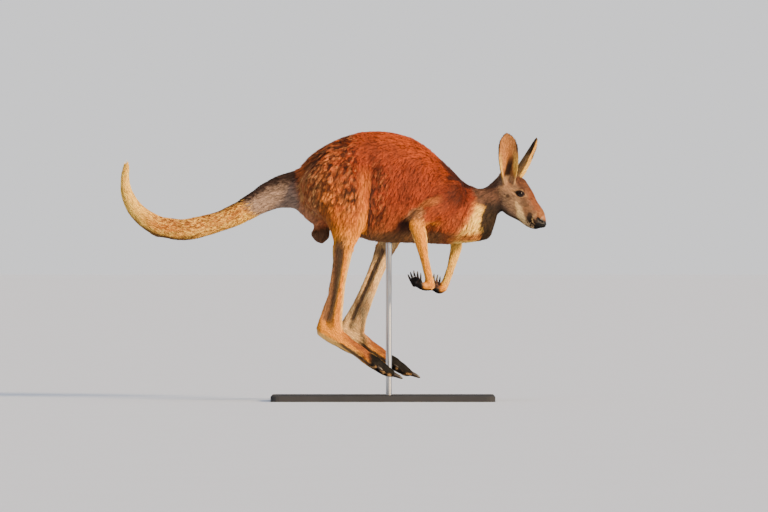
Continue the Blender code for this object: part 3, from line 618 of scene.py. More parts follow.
def foot_colour(p, n, side):
    """Foot: rusty above, cream at the inner ankle, tan and grey sole, blackish toes."""
    x, z = p[:, 0] - np.where(side > 0, 0.068, 0.0), p[:, 2]
    under = ramp(n[:, 2] + 0.6 * n[:, 0], -0.15, -0.6)
    streak = ramp(clouds(p, 0.012, 43, (3.0, 0.7, 2.0)), 0.48, 0.62)
    above_sole = z - (0.2414 - 0.69 * (x + 0.2176))
    middle = ramp(np.abs(above_sole - 0.011), 0.008, 0.004)
    toes = ramp(x + 0.010 * (clouds(p, 0.01, 41) - 0.5), -0.046, -0.030)
    return dyed(
        plain(LEG_GOLD, p),
        (FOOT_RUST, 0.9 * ramp(x, -0.155, -0.10) * ramp(n[:, 2], -0.1, 0.5)),
        # brown flecks above
        ("#6e4028", 0.6 * ramp(clouds(p, 0.006, 44, (2.5, 1, 1)), 0.5, 0.65)
         * ramp(x, -0.13, -0.07)),
        (LEG_INNER, 0.9 * ramp(n[:, 1] * side, 0.0, -0.55) * ramp(x, -0.09, -0.15)),
        (LEG_PALE, 0.7 * under * ramp(x, -0.04, -0.10)),
        (SOLE, 0.85 * under * streak * ramp(x, -0.17, -0.12)),
        # grey streak above the sole
        ("#42342e", 0.88 * middle * ramp(x, -0.155, -0.125) * ramp(n[:, 2], 0.6, 0.3)),
        (TOE_BLACK, toes),
        # pale pads under the toes
        ("#b08a5c", 0.9 * ramp(clouds(p, 0.009, 42), 0.48, 0.58) * ramp(n[:, 2], 0.0, -0.4) * toes),
    )


def tail_colour(p, n, side):
    """Tail: root in the rump's painted shadow, brown above and grey beside, then gold, paling to the tip,
    with painted shade along its underside.
    """
    along, z = -p[:, 0], p[:, 2]
    mottle = clouds(p, 0.0036, 51, (1.3, 1, 1))
    top = ramp(n[:, 2] + 0.5 * (mottle - 0.5), -0.05, 0.60)
    # the root is the tail in the rump's painted shadow: grey beside, brown above
    root = dyed(
        plain(TAIL_GREY_IN_PAINTED_SHADOW, p),
        (RUMP, 0.8 * ramp(along, 0.31, 0.25) * ramp(n[:, 2], -0.5, 0.3)),
        (TAIL_DARK, 0.95 * top * ramp(along, 0.24, 0.28) * ramp(along, 0.60, 0.50)),
    )
    dull = 1 - 0.75 * ramp(n[:, 0], 0.3, 0.8) * ramp(z, 0.72, 0.64)
    below = n @ np.array((-0.35, 0.0, -1.0))
    gold = dyed(
        plain(TAIL_GOLD, p),
        (TAIL_PALE, 0.30 * ramp(n[:, 2], 0.1, -0.6) + 0.65 * ramp(mottle, 0.45, 0.70)),
        ("#6c3e1c", 0.75 * ramp(mottle, 0.48, 0.32) * (0.55 + 0.45 * top)),  # brown mottling
        # rusty sides toward the tip
        ("#b0641e", 0.55 * ramp(np.abs(n[:, 2]), 0.5, 0.0) * ramp(along, 0.64, 0.72)),
        (TAIL_DARK, 0.80 * top * ramp(n[:, 2], 0.5, 0.9) * ramp(along, 0.62, 0.47)),
        (TAIL_PALE, 0.92 * ramp(along, 0.74, 0.84) * dull),
        ("#4e280e", 0.85 * ramp(below, 0.62, 0.95) * ramp(along, 0.56, 0.66)),  # painted shade along the underside
    )
    # the gold begins where the rump's painted shadow ends, at a sharp edge
    far = ramp(along + 0.03 * (mottle - 0.5) - 0.035 * n[:, 2], 0.430, 0.455)[:, None]
    return root * (1 - far) + gold * far


ELBOW = {s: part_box("upper_arm_" + s)[0][2] + 0.02 for s in SIDES}


def arm_colour(p, n, side):
    """Arm: rust shoulder with a dark patch, gold elbow and forearm, darker toward the wrist."""
    x, z = p[:, 0], p[:, 2]
    elbow = np.where(side < 0, ELBOW["right"], ELBOW["left"])
    ragged = 0.012 * (clouds(p, 0.008, 28) - 0.5)
    colour = dyed(
        plain(SHOULDER, p),
        ("#a04418", 0.70 * ramp(z, 0.690, 0.650) * ramp(x, 0.26, 0.20)),  # brighter upper arm
        (DEEP_RUST, 0.50 * ramp(clouds(p, 0.012, 22), 0.45, 0.75)),
    )
    streak = ramp(np.abs(z - 0.668 - 0.32 * (x - 0.146)) + ragged, 0.020, 0.006)
    corner = ramp(x + ragged - np.where(side > 0, 0.085, 0.0) * ramp(z, 0.65, 0.60), 0.162, 0.142)
    gold = ramp(z + ragged, elbow + 0.012, elbow - 0.020)
    return dyed(
        breast_marked_and_shaded(p, n, colour),
        # the pale streak over the upper arm, then the gold of elbow and forearm
        ("#cc7c3c", 0.50 * streak * ramp(x, 0.12, 0.15) * ramp(x, 0.225, 0.185)),
        ("#b88050", 0.85 * corner * ramp(z, 0.672, 0.650)),  # tan elbow
        # its dark flecks
        ("#54341c", 0.55 * corner * ramp(clouds(p, 0.006, 29), 0.50, 0.64) * ramp(z, 0.57, 0.60)),
        (LEG_GOLD, np.maximum(gold, 0.85 * corner * ramp(z, 0.628, 0.606))),
        (LEG_PALE, 0.6 * ramp(np.abs(n[:, 0]), 0.6, 0.95) * ramp(z, elbow, elbow - 0.05)),
        (CREAM, 0.7 * ramp(n[:, 1] * side, 0.0, -0.6) * ramp(z, 0.62, 0.52)),
        (THIGH_TAN, 0.4 * ramp(z, 0.425, 0.39)),
    )


def hand_colour(p, n, side):
    """Hand: gold heel, naked grey-pink palm, blackish fingers and underside."""
    near_wrist = np.where(p[:, 1] < 0, ramp(p[:, 0], 0.142, 0.156), ramp(p[:, 0], 0.200, 0.214))
    return dyed(
        plain(HAND_BLACK, p),
        (PALM, 0.85 * ramp(n[:, 2], 0.1, 0.7) * ramp(clouds(p, 0.008, 61), 0.2, 0.5)),
        (LEG_GOLD, 0.9 * near_wrist * ramp(n[:, 2], -0.95, -0.4)),
    )


def head_colour(p, n, side):
    """Head: grizzled cheek, brown forehead and nose bridge, the cheek stripe, black and white
    marks beside the muzzle, a black nose and rims to the lids, with painted shade beside the bridge,
    before the eye and under the jaw and a painted highlight on top of the nose."""
    place = in_head(p)
    a, b = place[:, 0], place[:, 2]
    grizzle = clouds(p, 0.0045, 71, (1.6, 1, 1))
    fine = clouds(p, 0.0028, 74, (1.8, 1, 1))
    soft = 0.016 * (clouds(p, 0.008, 73) - 0.5)
    bridge = ramp(a, 0.060, 0.10) * ramp(b + soft - 0.32 * (0.17 - a), -0.010, 0.020)
    stripe = run_gap(place, ((0.146, -0.046), (0.122, -0.032), (0.098, -0.016), (0.074, -0.001)))
    fade = ramp(a, 0.066, 0.112)
    width = 0.0070 + 0.0110 * fade
    down = -(n @ (np.array(HEAD_PLACE)[:3, :3] @ np.array((0.0, 0.0, 1.0))))
    patch = np.maximum(spot(place, 0.146, -0.013, 0.017), 0.8 * spot(place, 0.137, -0.004, 0.012))
    bristles = clouds(p, 0.0024, 72)
    lips = ramp(a, 0.136, 0.150) * ramp(b + 0.6 * (0.165 - a), 0.004, -0.008)
    streak = run_gap(place, ((0.1500, 0.0125), (0.1512, 0.0060), (0.1505, -0.0015), (0.1530, -0.0100),
                             (0.1590, -0.0150), (0.1660, -0.0175)))
    nose = np.maximum(ramp(a + 0.10 * b, 0.1690, 0.1725),
                      ramp(run_gap(place, NOSTRIL), 0.0075, 0.0045) * (a > 0.158))
    return dyed(
        plain(CHEEK, p),
        ("#c89870", 0.75 * spot(place, 0.010, 0.020, 0.032)),  # pale patch under the ear
        (NAPE, 0.6 * ramp(a, 0.008, -0.020)),
        ("#a8845c", 0.55 * ramp(grizzle, 0.50, 0.8) * ramp(b, 0.035, 0.0)),  # pale grizzle
        ("#3e2a1c", 0.55 * ramp(grizzle, 0.45, 0.15) * ramp(b, 0.045, 0.0)),  # dark grizzle
        (FOREHEAD, 0.85 * ramp(b + soft, 0.028, 0.056) * ramp(a, -0.02, 0.02)),
        (MUZZLE_TOP, 0.85 * bridge),
        # dark hairs of brow and bridge
        ("#3e2010", 0.50 * ramp(fine, 0.5, 0.70) * ramp(b, 0.01, 0.04)),
        ("#b06c3c", 0.30 * ramp(fine, 0.45, 0.30) * ramp(b, 0.01, 0.04)),  # rusty hairs among them
        # painted shade beside the bridge
        ("#4e2e1c", 0.28 * ramp(run_gap(place, ((0.100, 0.012), (0.136, 0.006))), 0.016, 0.004)),
        (MUZZLE_SIDE, 0.8 * spot(place, 0.120, -0.002, 0.024)),
        ("#a46c40", 0.70 * ramp(a, 0.140, 0.158) * ramp(b, 0.0, 0.010)),  # tan behind the nostril
        # painted shade before the eye
        ("#4e3220", 0.55 * ramp(run_gap(place, ((0.084, 0.020), (0.104, 0.012))), 0.014, 0.004)),
        # the pale stripe runs from the corner of the mouth toward the eye and fades there
        (STRIPE, (0.30 + 0.64 * fade) * ramp((stripe + 0.4 * soft) / width, 1.0, 0.35)
         * ramp(a, 0.056, 0.078)),
        ("#3a281c", 0.75 * spot(place, 0.041, -0.006, 0.009)),  # dark spot of the cheek
        # dark line under the jaw: dark hair, with painted shade where the jaw faces down
        ("#241a14", 0.80 * ramp(down, 0.55, 0.85) * ramp(a, 0.015, 0.05) * ramp(a, 0.145, 0.125)),
        # black patch of the whisker bed, the pale streak before it, dark lips
        (WHISKER_PATCH, 0.95 * np.clip(patch * (0.8 + 0.5 * bristles), 0, 1)),
        (WHISKER_PATCH, 0.9 * lips),
        # pale roots of the bristles
        ("#e8c492", 0.90 * ramp(bristles, 0.52, 0.62) * ramp(b, -0.020, -0.029)
         * ramp(a, 0.132, 0.142)),
        (LIP_PALE, 0.72 * ramp(streak, 0.0026, 0.0008)),
        (NOSE, nose * ramp(b, 0.020, 0.008)),
        # painted highlight on top of the moist nose
        ("#4c4440", 0.5 * nose * ramp(n @ np.array((0.2, 0.0, 1.0)), 0.35, 0.85)),
    )


def lid_colour(colour, gap):
    """Black rims of the lids in a pale ring."""
    return dyed(
        colour,
        (LID_PALE, 0.50 * ramp(gap, 0.0070, 0.0042) * ramp(gap, 0.0018, 0.0030)),
        (LID_DARK, ramp(gap, 0.0034, 0.0020)),
    )


EAR_LENGTH, EAR_HALF_WIDTH = 0.161, 0.036
EARS = {                 # base on the head, run of the axis and the way it opens, in the room
    "right": ((-0.006, -0.040, 0.037), (-0.012, -0.36, 1.0), (0.25, -0.96, 0.0)),
    "left": ((-0.012, 0.040, 0.036), (0.655, 0.16, 1.0), (0.97, -0.10, 0.0)),
}


def ear_axes(side):
    """Base, run, opening and breadth of an ear in the room."""
    base, axis, opening = (Vector(v) for v in EARS[side])
    axis.normalize()
    opening = (opening - axis * opening.dot(axis)).normalized()
    return [np.array(v) for v in (HEAD_PLACE @ base, axis, opening, axis.cross(opening))]


def ear_colour(p, n, side):
    """Ear: brown back, dark rim, golden inside, cream fringes and dark canal at the base."""
    base, axis, opening, breadth = ear_axes(side)
    t, off = (p - base) @ axis / EAR_LENGTH, (p - base) @ breadth / EAR_HALF_WIDTH
    facing = n @ opening
    sign = -SIDES[side]
    inside = ramp(facing, 0.0, 0.30)
    middle = (1.15 * np.clip(t, 0, 1) - 0.12) * sign
    height = np.clip(t, 0, 0.7)
    canal = ramp(np.abs(off - middle), 0.56 - 0.60 * height, 0.20 - 0.1 * height) * ramp(t, 0.62, 0.28)
    rim = ramp(np.abs(facing - 0.08), 0.42, 0.20) * ramp(t, 0.30, 0.45)
    outline = (1 - (np.clip(t - 0.6, 0, 0.4) / 0.402) ** 3) ** 0.66
    rim = np.maximum(rim, ramp(outline - np.abs(off), 0.26, 0.12) * ramp(t, 0.50, 0.65))
    tip = ramp(t, 0.90, 0.97) * (0.4 if side == "right" else 1.0)
    return dyed(
        plain(EAR_BACK, p),
        (EAR_RIM, 0.80 * ramp(t, 0.42, 0.75) + 0.25 * ramp(clouds(p, 0.02, 81), 0.5, 0.8)),
        (EAR_INSIDE, inside),
        # deeper gold in the middle of the ear
        ("#a05c24", 0.45 * inside * ramp(np.abs(off - 0.25 * sign), 0.55, 0.1) * ramp(t, 0.95, 0.5)),
        (CREAM, 0.95 * inside * ramp(np.abs(off), 0.40, 0.72) * ramp(t, 0.72, 0.25)),
        (EAR_CANAL, 0.96 * inside * canal),
        (CREAM, 0.55 * inside * (side == "left")),
        ("#c8a074", 0.85 * inside * ramp(t, 0.09, 0.0)),  # pale hair at the foot of the ear
        (EAR_RIM, np.clip(0.92 * rim + 0.8 * tip, 0, 0.95)),
    )


def ears_colour(p, n, side):
    """Both ears, each by its own axes."""
    colour = np.zeros((len(p), 3))
    for name, sign in SIDES.items():
        chosen = side == sign
        colour[chosen] = ear_colour(p[chosen], n[chosen], name)
    return colour


def scrotum_colour(p, n, side):
    """Scrotum: one brown."""
    return plain(SCROTUM, p)


RULES = {
    "trunk": body_colour, "neck": neck_colour, "thigh": thigh_colour, "shank": shank_colour,
    "foot": foot_colour, "upper_arm": arm_colour, "forearm": arm_colour, "hand": hand_colour,
    "head": head_colour, "lower_jaw": head_colour, "ear": ears_colour, "scrotum": scrotum_colour,
    "tail_root": tail_colour, "tail_middle": tail_colour, "tail_tip": tail_colour,
}


def hair_colour(p, n, shares, side, gap):
    """Colour of the hair or bare skin at any points of the skin."""
    colour = np.zeros((len(p), 3))
    for name, share in shares.items():
        k = np.nonzero(share > 0.001)[0]
        colour[k] += share[k, None] * RULES[name](p[k], n[k], side[k])
    return lid_colour(colour, gap)


# ================================================================ lie of the hair
# Hair lies from nose to tail and down the limbs, as on the animal; each part has its own run,
# which is turned into the skin's surface and blended over the borders.
LIE = {                 # run of the hair on the right side, on the left side
    "trunk": ((-0.52, 0.0, -1.0), (-0.52, 0.0, -1.0)),
    "neck": ((-0.85, 0.0, -0.60), (-0.85, 0.0, -0.60)),
    "thigh": ((-0.42, 0.0, -1.0), (-0.05, 0.0, -1.0)),
    "shank": ((-0.16, 0.0, -1.0), (-0.40, 0.0, -1.0)),
    "foot": ((0.78, 0.0, -0.62), (0.78, 0.0, -0.62)),
    "upper_arm": ((-0.75, 0.0, -0.65), (-0.10, 0.0, -1.0)),
    "forearm": ((0.24, 0.0, -1.0), (-0.17, 0.0, -1.0)),
    "hand": ((-1.0, 0.0, 0.30), (-1.0, 0.0, 0.30)),
    "scrotum": ((0.3, 0.0, -1.0), (0.3, 0.0, -1.0)),
}
TAIL_LINE = ((-0.250, 0.722), (-0.408, 0.680), (-0.544, 0.611), (-0.650, 0.584), (-0.740, 0.590),
             (-0.796, 0.619), (-0.838, 0.660), (-0.862, 0.712), (-0.867, 0.762), (-0.860, 0.806))


def tail_lie(p):
    """Run of the tail nearest each point."""
    out = np.zeros((len(p), 3))
    for (x0, z0), (x1, z1) in zip(TAIL_LINE, TAIL_LINE[1:]):
        middle = np.array(((x0 + x1) / 2, (z0 + z1) / 2))
        run = np.array((x1 - x0, z1 - z0)) / math.hypot(x1 - x0, z1 - z0)
        weight = 1 / (np.sum((p[:, (0, 2)] - middle) ** 2, axis=1) + 0.0002) ** 3
        out += weight[:, None] * np.array((run[0], 0, run[1]))
    return out / np.linalg.norm(out, axis=1)[:, None]


def head_lie(p):
    """Back from the nose, up the forehead and down over the cheeks."""
    place = in_head(p)
    turn = np.array(HEAD_PLACE)[:3, :3]
    drop = 0.10 - 0.55 * ramp(place[:, 2], 0.0, -0.04) * ramp(place[:, 0], 0.12, 0.05)
    run = np.stack((np.full(len(p), -1.0), 0.15 * np.sign(place[:, 1]), drop), axis=1)
    return run @ turn.T


def hair_lie(p, n, shares, side):
    """Unit run of the hair along the skin."""
    run = np.zeros((len(p), 3))
    for name, share in shares.items():
        if name in LIE:
            right, left = (np.array(v) / np.linalg.norm(v) for v in LIE[name])
            way = np.where(side[:, None] < 0, right, left)
            if name == "trunk":
                top = ramp(n[:, 2], 0.15, 0.80)
                way = way + np.stack((-0.9 * top, 0.12 * np.sign(p[:, 1]) * top, 0.6 * top), axis=1)
            if name in ("trunk", "thigh"):
                beside = 0.9 * np.exp(-(fold_gap(p) / 0.030) ** 2) * ramp(p[:, 2], 0.82, 0.76)
                way = way * (1 - beside[:, None]) + beside[:, None] * np.array((-0.10, 0.0, -1.0))
        elif name in ("head", "lower_jaw"):
            way = head_lie(p)
        elif name == "ear":
            axes = {s: ear_axes(s) for s in SIDES}
            way = np.where(side[:, None] < 0, axes["right"][1], axes["left"][1])
            for s, sign in SIDES.items():
                off = (p - axes[s][0]) @ axes[s][3] / EAR_HALF_WIDTH
                way = way + np.where(side == sign, 0.35 * off, 0)[:, None] * axes[s][3]
        else:
            way = tail_lie(p)
        run += share[:, None] * way
    run -= n * (run * n).sum(axis=1)[:, None]
    return run / np.maximum(np.linalg.norm(run, axis=1), 1e-6)[:, None]


# ================================================================ stained skin
# The cast skin is stained in the hair's colours, darkened with painted shade where hair covers it,
# and leathery on lids, nose, palms and soles, which stay bare; its unwrap is what the coat is mapped by.
PAINTED_SHADE_UNDER_HAIR = 0.55     # brightness of the stain under the hair: painted shade of the coat

shares = spread_parts(skin.data, 5)
points, normals = points_of(skin.data), normals_of(skin.data)
stain = hair_colour(points, normals, shares, np.sign(points[:, 1]), lid_gap)
place = in_head(points)
bare = ramp(lid_gap, 0.0034, 0.0024)
bare = np.maximum(bare, shares["head"] * ramp(place[:, 0] + 0.10 * place[:, 2], 0.168, 0.172))
bare = np.maximum(bare, (nostril > 0.05) * 1.0)
bare = np.maximum(bare, shares["hand"] * ramp(normals[:, 2], -0.1, 0.2))
bare = np.maximum(bare, shares["foot"] * ramp(normals[:, 2] + 0.6 * normals[:, 0], -0.5, -0.8))


def dye_layer(mesh, colours):
    """Store linear colours on the points, where the finishes look for them."""
    layer = mesh.color_attributes.new("hair", "FLOAT_COLOR", "POINT")
    layer.data.foreach_set("color", np.hstack((colours, np.ones((len(colours), 1)))).ravel())


dye_layer(skin.data, stain * (PAINTED_SHADE_UNDER_HAIR + (1 - PAINTED_SHADE_UNDER_HAIR) * bare[:, None]))
bpy.context.view_layer.objects.active = skin
skin.select_set(True)
bpy.ops.object.mode_set(mode="EDIT")
bpy.ops.mesh.select_all(action="SELECT")
bpy.ops.uv.smart_project(angle_limit=math.radians(66), island_margin=0.0)
bpy.ops.object.mode_set(mode="OBJECT")
skin.data.uv_layers[0].name = "OFBake"


def node_in(tree, kind, links=(), **settings):
    """Add a shader node; links are (input, socket that feeds it), settings its fields and inputs."""
    node = tree.nodes.new(kind)
    for name, value in settings.items():
        if hasattr(node, name):
            setattr(node, name, value)
        else:
            node.inputs[name.replace("_", " ")].default_value = value
    for name, socket in links:
        tree.links.new(socket, node.inputs[name])
    return node


def finish(name, **shader_settings):
    """A material with one Principled shader; returns it, its tree and the shader."""
    material = bpy.data.materials.new(name)
    material.use_nodes = True
    shader = material.node_tree.nodes["Principled BSDF"]
    for key, value in shader_settings.items():
        shader.inputs[key.replace("_", " ")].default_value = value
    return material, material.node_tree, shader


def skin_finish():
    """Stained skin: short matt underfur where hair grows, pebbled leather where it is bare, moist
    on the nose. Underfur is drawn 1.6 mm wide, far coarser than it is, so that it shows."""
    material, tree, shader = finish("stained_skin_and_underfur", Specular_IOR_Level=0.35)
    place = node_in(tree, "ShaderNodeTexCoord").outputs["Object"]
    fur = node_in(tree, "ShaderNodeTexNoise", [("Vector", place)], Scale=1000 / 1.6, Detail=4.0)
    pebble = node_in(tree, "ShaderNodeTexVoronoi", [("Vector", place)], Scale=1000 / 1.8)
    dye = node_in(tree, "ShaderNodeAttribute", attribute_name="hair").outputs["Color"]
    bare_share = node_in(tree, "ShaderNodeAttribute", attribute_name="bare").outputs["Fac"]
    value = node_in(tree, "ShaderNodeMapRange", [("Value", fur.outputs["Fac"])],
                    From_Min=0.3, From_Max=0.7, To_Min=0.75, To_Max=1.15)
    toned = node_in(tree, "ShaderNodeHueSaturation", [("Color", dye), ("Value", value.outputs["Result"])])
    height = node_in(tree, "ShaderNodeMix", [("Factor", bare_share), ("A", fur.outputs["Fac"]),
                                             ("B", pebble.outputs["Distance"])])
    bump = node_in(tree, "ShaderNodeBump", [("Height", height.outputs["Result"])],
                   Strength=0.6, Distance=0.0006)
    rough = node_in(tree, "ShaderNodeMapRange", [("Value", bare_share)], To_Min=0.85, To_Max=0.42)
    tree.links.new(toned.outputs["Color"], shader.inputs["Base Color"])
    tree.links.new(rough.outputs["Result"], shader.inputs["Roughness"])
    tree.links.new(bump.outputs["Normal"], shader.inputs["Normal"])
    return material


def smooth_shaded(mesh):
    """Shade a mesh as one smooth surface."""
    for polygon in mesh.polygons:
        polygon.use_smooth = True


bare_layer = skin.data.attributes.new("bare", "FLOAT", "POINT")
bare_layer.data.foreach_set("value", bare.astype(np.float32))
smooth_shaded(skin.data)
skin.data.materials.clear()
skin.data.materials.append(skin_finish())
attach(skin, "root")
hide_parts(*FLESH)

# ================================================================ coat
# The pelt: thousands of small solid tufts laid like shingles over the skin, each a narrow
# blade with a raised ridge that tapers to a point, longest on the trunk, shortest on the hands.
TUFTS = {                 # length, width, tufts to the square metre, how unruly, breadth of a lock
    "trunk": (0.0145, 0.0019, 160e3, 0.12, 0.0078),
    "neck": (0.0160, 0.0019, 175e3, 0.18, 0.0085),
    "thigh": (0.0140, 0.0018, 175e3, 0.12, 0.0078),
    "upper_arm": (0.0125, 0.0017, 210e3, 0.12, 0.0070),
    "tail_root": (0.0130, 0.0018, 190e3, 0.13, 0.0078),
    "tail_middle": (0.0110, 0.0016, 230e3, 0.14, 0.0065),
    "tail_tip": (0.0120, 0.0015, 250e3, 0.14, 0.0065),
    "shank": (0.0085, 0.0013, 270e3, 0.09, 0.0050),
    "forearm": (0.0090, 0.0013, 290e3, 0.11, 0.0050),
    "foot": (0.0070, 0.0012, 230e3, 0.12, 0.0045),
    "scrotum": (0.0060, 0.0011, 380e3, 0.15, 0.0050),
    "head": (0.0056, 0.0009, 560e3, 0.12, 0.0036),
    "lower_jaw": (0.0052, 0.0009, 560e3, 0.15, 0.0036),
    "ear": (0.0055, 0.0010, 400e3, 0.12, 0.0045),
    "hand": (0.0045, 0.0010, 380e3, 0.15, 0.0040),
}
COATS = (                 # piece, parts it covers, side, slot
    ("coat_trunk_right", ("trunk",), -1, "back_coat"), ("coat_trunk_left", ("trunk",), 1, "back_coat"),
    ("coat_thigh_right", ("thigh",), -1, "back_coat"), ("coat_thigh_left", ("thigh",), 1, "back_coat"),
    ("coat_neck_and_shoulders", ("neck", "upper_arm"), 0, "back_coat"),
    ("coat_tail", ("tail_root", "tail_middle", "tail_tip"), 0, "tail_coat"),
    ("coat_shank_right", ("shank",), -1, "leg_coat"), ("coat_shank_left", ("shank",), 1, "leg_coat"),
    ("coat_forearms_and_hands", ("forearm", "hand"), 0, "leg_coat"),
    ("coat_feet", ("foot", "scrotum"), 0, "foot_coat"),
    ("coat_head", ("head", "lower_jaw"), 0, "face_coat"), ("coat_ears", ("ear",), 0, "ear_coat"),
)
MOST_TUFTS = 33000        # to one piece, six triangles each
PATCH = 0.003             # breadth of a tuft's patch on the unwrap
LOCK_LENGTH = 2.4         # lengths of a lock to its breadth
TAIL_BRUSH = 0.0045       # how much further the hair stands off at the full end of the tail
# a blade's seven points: root left, ridge and right, bend left, ridge and right, then the tip
# the points' brightness: roots darkened with painted shade from the hair lying over them
POINT_TONES = np.array((0.55, 0.60, 0.55, 0.94, 1.00, 0.94, 1.18))
POINT_PATCH = np.array(((-.5, -.5), (0, -.5), (.5, -.5), (-.4, 0), (0, 0), (.4, 0), (0, .5))) * PATCH
BLADE_FACES = np.array((0, 3, 4, 1, 1, 4, 5, 2, 3, 6, 4, 4, 6, 5))      # two quads, two triangles
FACE_STARTS = np.array((0, 4, 8, 11))

skin.data.calc_loop_triangles()
triangles = table_of(skin.data.loop_triangles, "vertices", 3, np.int32)
corners = table_of(skin.data.loop_triangles, "loops", 3, np.int32)
unwrap = table_of(skin.data.uv_layers[0].uv, "vector", 2)
spread = points[triangles]
area = np.linalg.norm(np.cross(spread[:, 1] - spread[:, 0], spread[:, 2] - spread[:, 0]), axis=1) / 2
main_part = np.argmax(np.stack([shares[n] for n in NAMES]), axis=0)
depth = sum(COAT_DEPTH[n] * shares[n] for n in NAMES)


def gathered(p, n, run, across, breadth, density, rng):
    """Gather tufts into locks: each tuft's lock, its place along it and off its middle line."""
    heads = np.nonzero(rng.random(len(p)) * density * 0.8 * LOCK_LENGTH * breadth ** 2 < 1)[0]
    tree = KDTree(len(heads))
    for number, k in enumerate(heads):
        tree.insert(p[k], number)
    tree.balance()
    near = np.array([[found[1] for found in tree.find_n(q, 6)] for q in p])
    step = p[:, None] - p[heads][near]
    along = (step * run[heads][near]).sum(axis=2) / LOCK_LENGTH
    off = (step * across[heads][near]).sum(axis=2)
    apart = (1 - (n[:, None] * n[heads][near]).sum(axis=2)) * breadth[:, None] ** 2 * 4
    best = np.argmin(along ** 2 + off ** 2 + apart, axis=1)
    row = np.arange(len(p))
    half = 0.5 * breadth
    return near[row, best], np.clip(along[row, best] / half, -1, 1), off[row, best] / half


def hair_finish():
    """Kangaroo guard hair: dry, with a slight sheen, each strand a little lighter or darker. The
    strands are drawn 1.2 mm wide, far coarser than they are, so that they show."""
    material, tree, shader = finish("kangaroo_guard_hair", Roughness=0.62, Sheen_Weight=0.03,
                                    Sheen_Roughness=0.5, Specular_IOR_Level=0.16, IOR=1.55)
    place = node_in(tree, "ShaderNodeTexCoord").outputs["Object"]
    strands = node_in(tree, "ShaderNodeTexNoise", [("Vector", place)], Scale=1000 / 1.2, Detail=3.0)
    dye = node_in(tree, "ShaderNodeAttribute", attribute_name="hair").outputs["Color"]
    value = node_in(tree, "ShaderNodeMapRange", [("Value", strands.outputs["Fac"])],
                    From_Min=0.3, From_Max=0.7, To_Min=0.78, To_Max=1.22)
    toned = node_in(tree, "ShaderNodeHueSaturation", [("Color", dye), ("Value", value.outputs["Result"])])
    bump = node_in(tree, "ShaderNodeBump", [("Height", strands.outputs["Fac"])],
                   Strength=0.5, Distance=0.0008)
    tree.links.new(toned.outputs["Color"], shader.inputs["Base Color"])
    tree.links.new(bump.outputs["Normal"], shader.inputs["Normal"])
    return material


hair_material = hair_finish()


